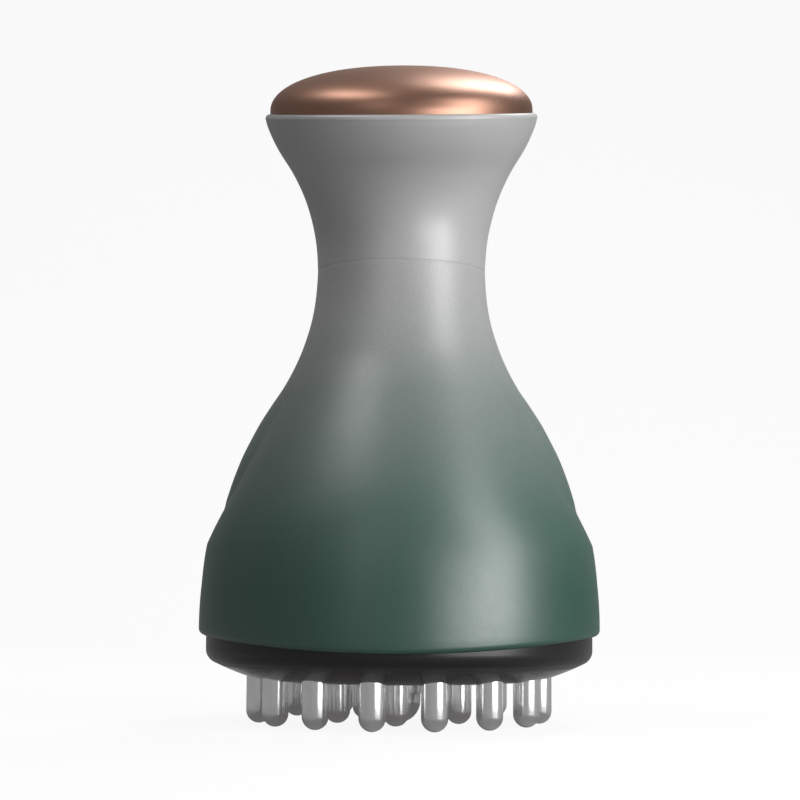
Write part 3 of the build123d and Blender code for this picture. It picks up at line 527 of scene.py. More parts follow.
@dataclass(frozen=True)
class Finish:
    """A finish with two close tints, a grain and a little relief."""

    name: str
    tint: Colour
    second_tint: Colour
    roughness: float = 0.5
    roughness_spread: float = 0.06
    metallic: float = 0.0
    specular: float = 0.5
    coat: float = 0.0
    coat_roughness: float = 0.1
    grain: float = 0.5
    relief: float = 0.01
    glow: Colour = (0, 0, 0)
    glow_strength: float = 0.0
    transmission: float = 0.0
    slot: str = ""

    def colour(self, recipe: Recipe) -> Shade:
        """Tint that wanders between the two tints."""
        return recipe.mix(recipe.noise(6 * self.grain), self.tint, self.second_tint)

    def height(self, recipe: Recipe) -> Shade:
        """Relief pattern between 0 and 1."""
        return recipe.noise(self.grain, detail=4)

    def rough(self, recipe: Recipe) -> Shade:
        """Roughness that wanders by the spread."""
        spread = (recipe.noise(3 * self.grain) - 0.5) * (2 * self.roughness_spread)
        return spread + self.roughness

    def material(self) -> bpy.types.Material:
        """Build the node tree.

        Returns:
            The material.
        """
        recipe = Recipe(self.name)
        return recipe.finish(
            {
                "Base Color": self.colour(recipe),
                "Roughness": self.rough(recipe),
                "Metallic": self.metallic,
                "Specular IOR Level": self.specular,
                "Coat Weight": self.coat,
                "Coat Roughness": self.coat_roughness,
                "Emission Color": self.glow,
                "Emission Strength": self.glow_strength,
                "Transmission Weight": self.transmission,
                "Normal": recipe.bump(self.height(recipe), self.relief),
            }
        )


@dataclass(frozen=True)
class PolishedBelow(Finish):
    """Satin finish that is polished below a height."""

    polish: float = 0.05
    low: float = 12.0
    high: float = 12.6

    def rough(self, recipe: Recipe) -> Shade:
        """Polish below the low height, the wandering roughness above the high one."""
        satin = recipe.axis("Z").step(self.low, self.high)
        return satin * (super().rough(recipe) - self.polish) + self.polish


@dataclass(frozen=True)
class FadedPaint(Finish):
    """Metallic paint whose tint fades with height, with fine bright flakes."""

    stops: tuple[tuple[float, Colour], ...] = ()
    low: float = 0.0
    high: float = 100.0
    flake: float = 0.25
    sparkle: float = 0.1

    def colour(self, recipe: Recipe) -> Shade:
        """Tint from a ramp over height, darker and lighter from flake to flake."""
        share = (recipe.axis("Z") - self.low) / (self.high - self.low)
        fade = recipe.node("ShaderNodeValToRGB", {"stops": self.stops}, {"Fac": share}, "Color")
        flakes = (recipe.noise(self.flake, detail=1) - 0.5) * (2 * self.sparkle) + 1
        scale = recipe.node("ShaderNodeCombineXYZ", None, {0: flakes, 1: flakes, 2: flakes})
        values = {0: fade, 1: scale}
        return recipe.node("ShaderNodeVectorMath", {"operation": "MULTIPLY"}, values)


@dataclass(frozen=True)
class BoardFinish(Finish):
    """Circuit board: lacquer with bright tracks that run square to each other."""

    track: Colour = (0.10, 0.32, 0.12)
    pitch: float = 1.8
    track_width: float = 0.35

    def tracks(self, recipe: Recipe) -> Shade:
        """1 on a track: near the edges of a cell pattern whose distance is square."""
        values = {"Vector": recipe.spot(), "Scale": 1 / (self.pitch * MILLIMETRE)}
        settings = {"feature": "DISTANCE_TO_EDGE"}
        edge = recipe.node("ShaderNodeTexVoronoi", settings, values, "Distance")
        return 1 - edge.step(0.0, self.track_width / self.pitch)

    def colour(self, recipe: Recipe) -> Shade:
        """Lacquer tint, with the track tint on the tracks."""
        base = recipe.mix(recipe.noise(self.grain), self.tint, self.second_tint)
        return recipe.mix(self.tracks(recipe), base, self.track)

    def height(self, recipe: Recipe) -> Shade:
        """Tracks stand a little above the board."""
        return self.tracks(recipe)


SHELL_PAINT = FadedPaint(
    "shell_paint", (0.03, 0.07, 0.05), (0.35, 0.35, 0.35), roughness=0.41, roughness_spread=0.05,
    specular=1.0, grain=0.3, relief=0.016, low=14.0, high=100.0, flake=0.3, sparkle=0.22,
    stops=(
        (0.0, (0.003, 0.058, 0.036)),
        (0.009, (0.003, 0.058, 0.036)),
        (0.02, (0.010, 0.060, 0.040)),
        (0.17, (0.014, 0.066, 0.045)),
        (0.36, (0.046, 0.100, 0.080)),
        (0.51, (0.106, 0.149, 0.133)),
        (0.66, (0.168, 0.203, 0.191)),
        (0.85, (0.325, 0.335, 0.331)),
        (1.0, (0.400, 0.400, 0.398)),
    ),
)
COLLAR_PAINT = FadedPaint(
    "collar_paint", (0.38, 0.38, 0.38), (0.4, 0.4, 0.4), roughness=0.40, roughness_spread=0.02,
    specular=0.9, grain=0.3, relief=0.002, low=100.0, high=140.0, flake=0.3, sparkle=0.05,
    stops=(
        (0.0, (0.420, 0.420, 0.418)),
        (1.0, (0.425, 0.425, 0.423)),
    ),
)
ROSE_GOLD = Finish(
    "rose_gold", (0.38, 0.212, 0.152), (0.405, 0.226, 0.162), roughness=0.42,
    roughness_spread=0.02, metallic=1.0, grain=0.8, relief=0.0006,
)
BASE_BLACK = PolishedBelow(
    "base_black", (0.006, 0.006, 0.0063), (0.0075, 0.0075, 0.0078), slot="black_gloss",
    roughness=0.33, roughness_spread=0.02, specular=0.5, grain=2.0, relief=0.001,
)
BLACK_GLOSS = Finish(
    "black_gloss", (0.006, 0.006, 0.0063), (0.0075, 0.0075, 0.0078), roughness=0.14,
    roughness_spread=0.02, specular=0.4, grain=2.0, relief=0.001,
)
POST_CHROME = Finish(
    "post_chrome", (0.86, 0.86, 0.863), (0.90, 0.90, 0.903), roughness=0.17,
    roughness_spread=0.02, metallic=1.0, grain=1.2, relief=0.0006,
)
RED_WINDOW = Finish(
    "red_window", (0.30, 0.012, 0.010), (0.36, 0.016, 0.012), roughness=0.25,
    glow=(1.0, 0.05, 0.03), glow_strength=0.2, grain=1.0, relief=0.002,
)
CLEAR_GUIDE = Finish(
    "clear_guide", (0.75, 0.76, 0.76), (0.7, 0.71, 0.72), roughness=0.3, glow=(0.8, 0.9, 0.85),
    glow_strength=0.15, grain=0.6, relief=0.002,
)
BUTTON_METAL = Finish(
    "button_metal", (0.33, 0.34, 0.34), (0.37, 0.38, 0.38), roughness=0.3, roughness_spread=0.04,
    metallic=0.9, grain=0.35, relief=0.003,
)
SILICONE = Finish(
    "silicone", (0.022, 0.022, 0.023), (0.030, 0.030, 0.031), roughness=0.7, grain=0.4,
    relief=0.01,
)
FRAME_PLASTIC = Finish(
    "frame_plastic", (0.060, 0.062, 0.066), (0.080, 0.082, 0.086), roughness=0.55, grain=0.5,
    relief=0.02,
)
CIRCUIT_BOARD = BoardFinish(
    "circuit_board", (0.010, 0.085, 0.030), (0.014, 0.105, 0.038), roughness=0.35, coat=0.4,
    grain=2.0, relief=0.03,
)
CHIP_BLACK = Finish(
    "chip_black", (0.016, 0.016, 0.018), (0.024, 0.024, 0.026), roughness=0.6, grain=0.2,
    relief=0.008,
)
STEEL = Finish(
    "steel", (0.46, 0.46, 0.47), (0.54, 0.54, 0.55), roughness=0.32, metallic=1.0, grain=0.6,
    relief=0.004,
)
HEATER_METAL = Finish(
    "heater_metal", (0.62, 0.60, 0.56), (0.72, 0.70, 0.66), roughness=0.4, metallic=1.0,
    grain=1.5, relief=0.01,
)
WEIGHT_METAL = Finish(
    "weight_metal", (0.30, 0.27, 0.20), (0.38, 0.34, 0.26), roughness=0.45, metallic=1.0,
    grain=0.5, relief=0.01,
)
CELL_WRAP = Finish(
    "cell_wrap", (0.03, 0.12, 0.30), (0.04, 0.15, 0.36), roughness=0.35, coat=0.3, grain=3.0,
    relief=0.02,
)
FOAM = Finish(
    "foam", (0.12, 0.12, 0.12), (0.18, 0.18, 0.175), roughness=0.95, grain=0.35, relief=0.12,
)
LEAD_COVER = Finish(
    "lead_cover", (0.45, 0.02, 0.02), (0.55, 0.03, 0.03), roughness=0.5, grain=0.6, relief=0.006,
)

NODE_FINISHES: dict[Finish, tuple[str, ...]] = {
    FRAME_PLASTIC: ("head_carrier", "foot_frame", "battery_carrier", "motor_clamp"),
    STEEL: (
        "head_carrier_screws", "frame_screws", "main_board_screws", "collar_screws",
        "motor_can", "motor_shaft", "motor_clamp_screws", "small_board_screws",
        "charging_socket",
    ),
    SILICONE: ("head_seal", "base_seal", "panel_seal"),
    HEATER_METAL: ("head_heater",),
    FOAM: ("heater_pad", "battery_pad"),
    RED_WINDOW: ("light_window",),
    CLEAR_GUIDE: ("light_emitters", "indicator_window"),
    CIRCUIT_BOARD: ("contact_board", "main_board", "key_board", "socket_board"),
    CELL_WRAP: ("battery_cell",),
    CHIP_BLACK: ("main_chip", "key_switches"),
    WEIGHT_METAL: ("eccentric_weight",),
    LEAD_COVER: ("heater_lead",),
}


@cache
def material_of(finish: Finish) -> bpy.types.Material:
    """The one material of a finish."""
    return finish.material()


def put_piece(
    node: str, look: str, mesh: bpy.types.Mesh, finish: Finish, body: Body = Body.HOUSING
) -> None:
    """Make a piece of a mesh, dress it, and let it stand for its frame node.

    Args:
        node: Frame node that it replaces.
        look: Second half of the piece's name.
        mesh: Its mesh, in place.
        finish: Its finish.
        body: Body that it rides on.
    """
    mesh.materials.append(material_of(finish))
    piece = add_object(f"{node}_{look}", mesh)
    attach(piece, body.value)
    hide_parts(node)
    log.info("%s: %d faces, %s", piece.name, len(mesh.polygons), finish.name)


# The housing


@dataclass(frozen=True)
class HousingForm:
    """Outline of the lower housing, which changes with height."""

    middle_break: float = 38.8
    waist: float = 18.8
    shoulder: float = 42.6
    drum: float = 44.1
    bottom: float = 14.5
    seam: float = 100.0
    swell: float = 2.32
    drum_heights: tuple[float, ...] = (0, 0.25, 0.4, 0.56, 0.72, 0.84, 0.93, 1)
    drum_shares: tuple[float, ...] = (1, 1, 0.933, 0.8, 0.6, 0.4, 0.2, 0)
    neck_heights: tuple[float, ...] = (
        0, 0.05, 0.105, 0.165, 0.25, 0.335, 0.42, 0.5, 0.57, 0.65, 0.74, 0.83, 0.92, 1,
    )  # fmt: skip
    side_shares: tuple[float, ...] = (
        1, 0.941, 0.87, 0.79, 0.681, 0.5735, 0.466, 0.3655, 0.277, 0.185, 0.105, 0.0462, 0.0126, 0,
    )  # fmt: skip
    front_shares: tuple[float, ...] = (
        1, 0.973, 0.926, 0.861, 0.754, 0.637, 0.513, 0.395, 0.294, 0.189, 0.105, 0.0462, 0.0126, 0,
    )  # fmt: skip
    swell_shares: tuple[float, ...] = (
        0, 0, 0, 0.405, 0.806, 1, 0.957, 0.681, 0.34, 0.168, 0.05, 0, 0, 0,
    )  # fmt: skip
    crease_degrees: tuple[float, ...] = (
        8, 8, 8, 13.1, 15.5, 17.8, 19.8, 23.5, 31, 36, 38, 38, 38, 38,
    )  # fmt: skip

    def table(self, shares: tuple[float, ...], low: float, high: float, plain: bool) -> HeightTable:
        """Table over the neck whose values run from low at share 0 to high at share 1."""
        heights = self.middle_break + np.array(self.neck_heights) * (self.seam - self.middle_break)
        values = low + np.array(shares) * (high - low)
        return HeightTable(tuple(heights), tuple(values), plain)

    def drum_table(self) -> HeightTable:
        """Radius of the drum over its height."""
        heights = self.bottom + np.array(self.drum_heights) * (self.middle_break - self.bottom)
        values = self.shoulder + np.array(self.drum_shares) * (self.drum - self.shoulder)
        return HeightTable(tuple(heights), tuple(values))

    def radii(self, height: Array) -> tuple[Array, Array, Array, Array]:
        """Side radius, front radius, lobe swell and crease angle at each height.

        Args:
            height: Heights in millimetres, of any shape.

        Returns:
            Four arrays in the shape of the heights, the angle in radians.
        """
        drum = self.drum_table().at(height)
        low = height < self.middle_break
        side = self.table(self.side_shares, self.waist, self.shoulder, False).at(height)
        front = self.table(self.front_shares, self.waist, self.shoulder, False).at(height)
        swell = self.table(self.swell_shares, 0, self.swell, True).at(height)
        crease = self.table(self.crease_degrees, 0, 1, True).at(height)
        return np.where(low, drum, side), np.where(low, drum, front), swell, np.radians(crease)

    def arc(self, height: Array, inset: Array) -> tuple[Array, Array]:
        """Middle and radius of the back arc, which passes both creases and the back's middle.

        Args:
            height: Heights in millimetres.
            inset: How far the surface is drawn in.

        Returns:
            Place of the arc's middle along Y, and its radius.
        """
        side, front, _, crease = self.radii(height)
        side, front = side - inset, front - inset
        across, deep = side * np.cos(crease), front * np.sin(crease)
        middle = (across**2 + deep**2 - front**2) / (2 * (deep - front))
        return middle, front - middle

    def outline(self, height: Array, inset: Array, turn: Array) -> tuple[Array, Array]:
        """Points of the level outline: a fuller arc on each side, a wider one front and back.

        Each arc passes through both creases and its own middle, so a side arc's centre lies on X
        at (cx^2 + cy^2 - a^2) / 2(cx - a), with the crease (cx, cy) and the arc's end a, and the
        front and back arcs likewise on Y. Turn counts arcs: 0 to 1 right, then back, left, front.

        Args:
            height: Heights in millimetres.
            inset: How far the surface is drawn in.
            turn: Place round the outline, 0 to 4.

        Returns:
            X and Y of each point.
        """
        side, front, swell, crease = self.radii(height)
        side, front = side - inset, front - inset
        across, deep = side * np.cos(crease), front * np.sin(crease)
        reach = side + swell
        side_middle = (across**2 + deep**2 - reach**2) / (2 * (across - reach))
        side_half = np.arctan2(deep, across - side_middle)
        front_middle, front_radius = self.arc(height, inset)
        front_half = np.arctan2(across, deep - front_middle)
        share = 2 * (turn % 1) - 1
        side_x = side_middle + (reach - side_middle) * np.cos(side_half * share)
        side_y = (reach - side_middle) * np.sin(side_half * share)
        back_x = -front_radius * np.sin(front_half * share)
        back_y = front_middle + front_radius * np.cos(front_half * share)
        sign = np.where(turn < 2, 1, -1)
        on_side = np.floor(turn) % 2 == 0
        x = np.where(on_side, side_x, back_x)
        y = np.where(on_side, side_y, back_y)
        return sign * x, sign * y


@dataclass(frozen=True)
class PanelPlace:
    """Where the control panel lies on the back of the shoulder."""

    form: HousingForm
    height: float = 60.0
    half_length: float = 19.0
    half_width: float = 6.5
    reach: float = 6.0
    spread_power: float = 0.5
    spread_stretch: float = 1.25
    corrections: int = 12

    def place(self) -> Place:
        """The panel's place: along runs up the slope, out points away from the shell."""
        ends = np.array([self.height - self.half_length, self.height + self.half_length])
        front = self.form.table(self.form.front_shares, self.form.waist, self.form.shoulder, False)
        near = np.interp(np.append(ends, self.height), front.heights, front.values)
        lean = math.atan2(near[0] - near[1], 2 * self.half_length)
        out = (0, math.cos(lean), math.sin(lean))
        along = (0, -math.sin(lean), math.cos(lean))
        return Place((0, float(near[2]), self.height), (-1, 0, 0), along, out)

    def rise(self, across: Array, along: Array, proud: float) -> Array:
        """Height of the shell's surface over the panel's plane.

        A few corrections by the distance that is still missing settle on the surface, because
        the panel's own direction is nearly square to it.

        Args:
            across: Places across the panel.
            along: Places along the panel.
            proud: How far the surface stands above the shell.

        Returns:
            Heights along the panel's own direction.
        """
        place = self.place()
        rise = 0 * across
        for _ in range(self.corrections):
            spot = place.put(np.stack([across, along, rise], -1))
            middle, radius = self.form.arc(spot[..., 2], np.full_like(rise, -proud))
            rise = rise - (np.hypot(spot[..., 0], spot[..., 1] - middle) - radius)
        return rise

    def outline(self, margin: Array | float, columns: int) -> tuple[Array, Array]:
        """Long round outline: the middle line's points, plus a circle of the half width.

        Args:
            margin: Growth of the outline at each row; minus the half width folds it to a line.
            columns: Points round the outline.

        Returns:
            Across and along of each point.
        """
        angle = ring_angles(columns)
        straight = self.half_length - self.half_width
        spread = np.abs(np.cos(angle)) ** self.spread_power * np.sign(np.cos(angle))
        radius = self.half_width + margin
        spine = straight * np.clip(spread * self.spread_stretch, -1, 1)
        return radius * np.sin(angle) + 0 * spine, spine + radius * np.cos(angle)


@dataclass(frozen=True)
class LowerShell:
    """Painted housing from the drum's lower edge to the seam in the waist."""

    form: HousingForm
    panel: PanelPlace
    wall: float = 2.2
    edge_middle: float = 16.2
    edge_side: float = 19.3
    edge_rounding: float = 1.1
    rabbet_inset: float = 1.45
    shoulder_inset: float = 3.9
    shoulder_low: float = 24.0
    shoulder_high: float = 26.0
    seam_relief: float = 0.06
    relief_share: float = 0.3
    panel_gap: float = 0.12
    port_height: float = 30.0
    port_half_width: float = 4.47
    port_half_height: float = 1.63
    port_gap: float = 0.35
    port_margin: float = 1.5
    port_recess: float = 1.2
    port_face: float = 43.654
    rows_top: float = 99.0
    rows_middle: float = 50.0
    rise_top: float = 30.0
    side_columns: int = 22
    front_columns: int = 84

    def rows(self) -> Array:
        """Height, inset and share of the edge's arc of each row, outside down and inside up.

        The lower edge is a quarter arc: inset r (1 - cos a), height r (1 - sin a) over the edge.

        Returns:
            Rows of height, inset and share.
        """
        turn = np.linspace(0, math.pi / 2, 7)
        low, top, relief = self.edge_middle, self.form.seam, self.seam_relief
        height = low + self.edge_rounding * (1 - np.sin(turn))
        rounding = side_by_side(height, self.edge_rounding * (1 - np.cos(turn)), 1)
        levels = (self.rows_top, self.rows_middle, self.form.middle_break, self.rise_top)
        runs = zip(levels, levels[1:], (64, 22, 14))
        outside = np.concatenate([np.linspace(*run, endpoint=False) for run in runs])
        share = np.linspace(0, 1, 8, endpoint=False)
        lower = side_by_side(self.rise_top + (height[0] - self.rise_top) * share, 0, share)
        near = self.relief_share * relief
        seam = [(top, relief, 0), (top - near, near, 0), (top - relief, 0, 0)]
        step = [
            (low, self.rabbet_inset, 1),
            (self.shoulder_low, self.rabbet_inset, 0),
            (self.shoulder_low, self.shoulder_inset, 0),
            (self.shoulder_high, self.shoulder_inset, 0),
        ]
        inside = side_by_side(np.linspace(self.shoulder_high, top, 40), self.wall, 0)
        parts = (seam, side_by_side(outside, 0, 0), lower, rounding, step, inside)
        return np.concatenate([np.array(part) for part in parts])

    def turns(self) -> Array:
        """Places round the outline, finer on the side lobes."""
        side = np.arange(self.side_columns) / self.side_columns
        front = np.arange(self.front_columns) / self.front_columns
        return np.concatenate([side, 1 + front, 2 + side, 3 + front])

    def edge_rise(self, across: Array) -> Array:
        """How far the lower edge has risen at a distance from the middle: R - sqrt(R^2 - x^2)."""
        sagitta = self.edge_side - self.edge_middle
        radius = (self.form.drum**2 + sagitta**2) / (2 * sagitta)
        return radius - np.sqrt(radius**2 - across**2)

    def port(self, margin: float, depth: float) -> Array:
        """Long round prism for the charging port, grown by a margin, from a depth outwards."""
        outline = long_round(self.port_half_width, self.port_half_height, margin, 48)
        grid = prism(outline, np.zeros(2), self.port_face - depth, self.form.drum + 1)
        return grid[..., [0, 2, 1]] + np.array([0, 0, self.port_height])

    def panel_opening(self) -> Array:
        """Prism through the wall, a gap wider than the panel."""
        outline = side_by_side(*self.panel.outline(self.panel_gap, 96))
        spine = side_by_side(*self.panel.outline(-self.panel.half_width, 96))
        reach = self.panel.reach
        return self.panel.place().put(prism(outline, spine, -reach, reach))

    def build(self) -> None:
        """Work out the shell, cut its two openings and dress it."""
        rows, turn = self.rows(), self.turns()[None]
        height, inset, turn = np.broadcast_arrays(rows[:, :1], rows[:, 1:2], turn)
        x, y = self.form.outline(height, inset, turn)
        grid = np.stack([x, y, height + rows[:, 2:] * self.edge_rise(x)], -1)
        mesh = Skin().add(grid, loop=True).mesh("lower_shell_skin")
        opening = Skin().add(self.panel_opening()).add(self.port(self.port_gap, 2 * self.wall))
        mesh = cut(mesh, opening)
        mesh = cut(mesh, Skin().add(self.port(self.port_margin, self.port_recess)))
        put_piece("lower_shell", "paint", mesh, SHELL_PAINT)


@dataclass(frozen=True)
class CollarForm:
    """How the collar's rings widen, lean and tilt from the seam to the rim."""

    waist: float = 18.8
    rim: float = 30.55
    seam: float = 100.0
    rim_height: float = 135.6
    tilt_degrees: float = 15.0
    heights: tuple[float, ...] = (0, 0.12, 0.24, 0.36, 0.47, 0.57, 0.66, 0.75, 0.83, 0.9, 0.96, 1)
    shares: tuple[float, ...] = (
        0, 0.019, 0.066, 0.149, 0.255, 0.386, 0.531, 0.705, 0.838, 0.931, 0.988, 1,
    )  # fmt: skip

    def radius(self, share: Array) -> Array:
        """Radius of the ring at each share of the collar's height."""
        values = self.waist + np.array(self.shares) * (self.rim - self.waist)
        return HeightTable(self.heights, tuple(values)).at(share)

    def tilt(self, share: Array) -> Array:
        """Tilt in radians: the smooth step s^2 (3 - 2 s) of the rim's tilt."""
        return math.radians(self.tilt_degrees) * share**2 * (3 - 2 * share)

    def lean(self, share: Array) -> Array:
        """How far each ring's middle has moved to the front: the tilt's tangent, summed up."""
        fine = np.linspace(0, 1, 401)
        slope = np.tan(self.tilt((fine[:-1] + fine[1:]) / 2)) / 400
        total = np.concatenate([[0], np.cumsum(slope)])
        return np.interp(share, fine, total) * (self.rim_height - self.seam)

    def rim_place(self) -> Place:
        """The rim's middle, with its own out direction square to the tilted rim."""
        tilt = math.radians(self.tilt_degrees)
        origin = (0, -float(self.lean(np.array(1.0))), self.rim_height)
        along = (0, math.cos(tilt), math.sin(tilt))
        return Place(origin, (1, 0, 0), along, (0, -math.sin(tilt), math.cos(tilt)))

    def rings(self, rows: Array, columns: int) -> Array:
        """Circles that lean and tilt with their share of the height.

        A ring's point is the ring's middle plus radius times (sin a, -cos a) in the tilted plane
        plus its level square to that plane.

        Args:
            rows: Rows of radius, share of the collar's height and level over the ring's plane.
            columns: Points round each ring.

        Returns:
            Grid of points.
        """
        radius, share, level = (rows[:, index : index + 1] for index in range(3))
        angle = ring_angles(columns)
        tilt = self.tilt(share)
        flat_y, flat_z = -radius * np.cos(angle), level + 0 * angle
        y = flat_y * np.cos(tilt) - flat_z * np.sin(tilt) - self.lean(share)
        z = flat_y * np.sin(tilt) + flat_z * np.cos(tilt)
        height = self.seam + share * (self.rim_height - self.seam)
        return np.stack([radius * np.sin(angle), y, z + height], -1)


@dataclass(frozen=True)
class UpperCollar:
    """Flared collar with a thin rounded lip, a seat for the head, a deck and a spigot."""

    form: CollarForm
    wall: float = 2.0
    lip_width: float = 0.86
    lip_drop: float = 1.05
    lip_inner: float = 0.1
    seat_radius: float = 29.57
    seat_depth: float = 0.8
    plug_radius: float = 27.75
    plug_depth: float = 3.3
    ledge_radius: float = 25.6
    ledge_depth: float = 5.3
    ledge_outer: float = 27.4
    ledge_share: float = 0.83
    spigot_outer: float = 16.4
    spigot_inner: float = 15.0
    spigot_length: float = 3.5
    root_height: float = 2.5
    deck_low: float = 108.5
    deck_high: float = 110.5
    deck_radius: float = 17.4
    seam_relief: float = 0.06
    relief_share: float = 0.3
    lip_start: float = 0.9
    lip_end: float = 0.965
    root_share: float = 0.08
    columns: int = 160
    deck_columns: int = 64

    def rows(self) -> Array:
        """Radius, share of the height and level of each row, outside up and inside down.

        The lip is a wide quarter ellipse outside and a small quarter arc inside.

        Returns:
            Rows of radius, share and level.
        """
        form, lip = self.form, self.lip_inner
        turn = np.linspace(0, math.pi / 2, 9)
        flare = np.linspace(0, self.lip_start, 60)[1:]
        share = np.append(flare, np.linspace(self.lip_start, self.lip_end, 8)[1:])
        outside = side_by_side(form.radius(share), share, 0)
        across, drop = 1 - np.cos(turn), 1 - np.sin(turn)
        outer_lip = side_by_side(form.rim - self.lip_width * across, 1, -self.lip_drop * drop)
        inner_lip = side_by_side(self.seat_radius + lip * drop, 1, -lip * across)
        seat = [
            (self.seat_radius, 1, -self.seat_depth),
            (self.plug_radius, 1, -self.seat_depth),
            (self.plug_radius, 1, -self.plug_depth),
            (self.ledge_radius, 1, -self.plug_depth),
            (self.ledge_radius, 1, -self.ledge_depth),
            (self.ledge_outer, 1, -self.ledge_depth),
        ]
        down = np.linspace(self.ledge_share, self.root_share, 30)
        relief = self.seam_relief
        near = self.relief_share * relief
        inside = side_by_side(form.radius(down) - self.wall, down, 0)
        spigot = [
            (self.spigot_inner, 0, self.root_height),
            (self.spigot_inner, 0, -self.spigot_length),
            (self.spigot_outer, 0, -self.spigot_length),
            (self.spigot_outer, 0, 0),
            (form.waist - relief, 0, 0),
            (form.waist - near, 0, near),
            (form.waist, 0, relief),
        ]
        parts = (outside, outer_lip, inner_lip, seat, inside, spigot)
        return np.concatenate([np.array(part) for part in parts])

    def build(self) -> None:
        """Work out the collar with its deck and dress it."""
        skin = Skin().add(self.form.rings(self.rows(), self.columns), loop=True)
        skin.add(disc(self.deck_radius, self.deck_low, self.deck_high, self.deck_columns))
        mesh = skin.mesh("upper_collar_skin")
        put_piece("upper_collar", "paint", mesh, COLLAR_PAINT)


@dataclass(frozen=True)
class ScrapingHead:
    """Rose-gold dome in the tilted rim, hollow underneath, with three bosses."""

    place: Place
    radius: float = 29.45
    height: float = 10.65
    skirt_height: float = 0.5
    skirt_depth: float = 0.7
    power: float = 2.2
    edge_rounding: float = 0.12
    cavity_radius: float = 26.5
    cavity_height: float = 9.3
    land_height: float = 6.8
    land_step: float = 0.4
    boss_sink: float = 1.0
    boss_columns: int = 32
    boss_radius: float = 2.2
    boss_circle: float = 21.5
    boss_count: int = 3
    columns: int = 192

    def path(self) -> Array:
        """Outline: superellipse from the top to the skirt, then the hollow back to the axis."""
        outer = superellipse(self.radius, self.height - self.skirt_height, self.power, 72)
        outer = outer + np.array([0, self.skirt_height])
        cavity = superellipse(self.cavity_radius, self.cavity_height, self.power, 40)[::-1]
        cavity = cavity - np.array([0, self.skirt_depth])
        cavity = cavity[cavity[:, 1] < self.land_height]
        low = -self.skirt_depth
        edge = [(self.radius, low + self.edge_rounding), (self.radius - self.edge_rounding, low)]
        land = [(cavity[-1, 0] - self.land_step, self.land_height), (0, self.land_height)]
        return np.concatenate([outer, edge, cavity, land])

    def build(self) -> None:
        """Work out the dome and dress it."""
        skin = Skin().add(self.place.put(revolved(self.path(), self.columns)))
        top = self.land_height - self.boss_sink
        boss = disc(self.boss_radius, -self.skirt_depth, top, self.boss_columns)
        for spot in self.boss_circle * outwards(ring_angles(self.boss_count)):
            skin.add(self.place.put(boss + np.append(spot, 0)))
        mesh = skin.mesh("scraping_head_skin")
        put_piece("scraping_head", "metal", mesh, ROSE_GOLD)


# Base and posts


@dataclass(frozen=True)
class PostLayout:
    """Where the posts stand, angles counted from the front towards the right."""

    outer_circle: float = 30.75
    outer_count: int = 15
    outer_phase: float = 16.4
    inner_circle: float = 13.9
    inner_count: int = 5

    def outer(self) -> Array:
        """Places of the outer posts on their circle, evenly spaced from the phase."""
        angle = np.radians(self.outer_phase + np.arange(self.outer_count) * 360 / self.outer_count)
        return self.outer_circle * outwards(angle)

    def inner(self) -> Array:
        """Places of the inner posts on their circle, the first one in front."""
        return self.inner_circle * outwards(ring_angles(self.inner_count))


@dataclass(frozen=True)
class Posts:
    """Chrome posts with round ends, in two rings round a larger one."""

    layout: PostLayout
    radius: float = 2.8
    floor_top: float = 12.5
    flange_radius: float = 3.4
    flange_top: float = 13.7
    stub_radius: float = 1.2
    stub_top: float = 15.5
    centre_radius: float = 4.75
    ring_radius: float = 5.4
    ring_low: float = 6.3
    ring_high: float = 9.3
    ring_foot: float = 0.2
    ring_rounding: float = 0.3
    centre_flange: float = 6.6
    columns: int = 48
    centre_columns: int = 64
    tip_rows: int = 15
    longest_run: float = 2.5

    def tip(self, radius: float) -> list[tuple[float, float]]:
        """Half round end: (r sin a, r - r cos a), from the lowest point to the side."""
        angle = np.linspace(0, math.pi / 2, self.tip_rows)
        return list(zip(radius * np.sin(angle), radius - radius * np.cos(angle)))

    def top(self, radius: float, flange: float) -> list[tuple[float, float]]:
        """Shank, flange and stub above the tip."""
        return [
            (radius, self.floor_top),
            (flange, self.floor_top),
            (flange, self.flange_top),
            (self.stub_radius, self.flange_top),
            (self.stub_radius, self.stub_top),
            (0, self.stub_top),
        ]

    def outline(self) -> Array:
        """Outline of a small post."""
        path = self.tip(self.radius) + self.top(self.radius, self.flange_radius)
        return filled_path(np.array(path), self.longest_run)

    def centre_outline(self) -> Array:
        """Outline of the middle post, with a rounded ring where it leaves the floor."""
        ring = [
            (self.centre_radius, self.centre_radius, 0),
            (self.centre_radius, self.ring_low, self.ring_foot),
            (self.ring_radius, self.ring_low, self.ring_rounding),
            (self.ring_radius, self.ring_high, 0),
            (self.centre_radius, self.ring_high, 0),
            (self.centre_radius, self.floor_top, 0),
        ]
        shank = rounded_path(ring, 4)
        path = self.tip(self.centre_radius) + self.top(self.centre_radius, self.centre_flange)
        return np.concatenate([path[: self.tip_rows], shank[1:-1], path[self.tip_rows :]])

    def build(self) -> None:
        """Make every post at its place."""
        small = revolved(self.outline(), self.columns)
        for label, spots in (("outer_post_{:02d}", self.layout.outer()),
                             ("inner_post_{}", self.layout.inner())):
            for number, spot in enumerate(spots, start=1):
                node = label.format(number)
                mesh = Skin().add(small + np.append(spot, 0)).mesh(node + "_skin")
                put_piece(node, "chrome", mesh, POST_CHROME)
        middle = revolved(self.centre_outline(), self.centre_columns)
        mesh = Skin().add(middle).mesh("centre_post_skin")
        put_piece("centre_post", "chrome", mesh, POST_CHROME)


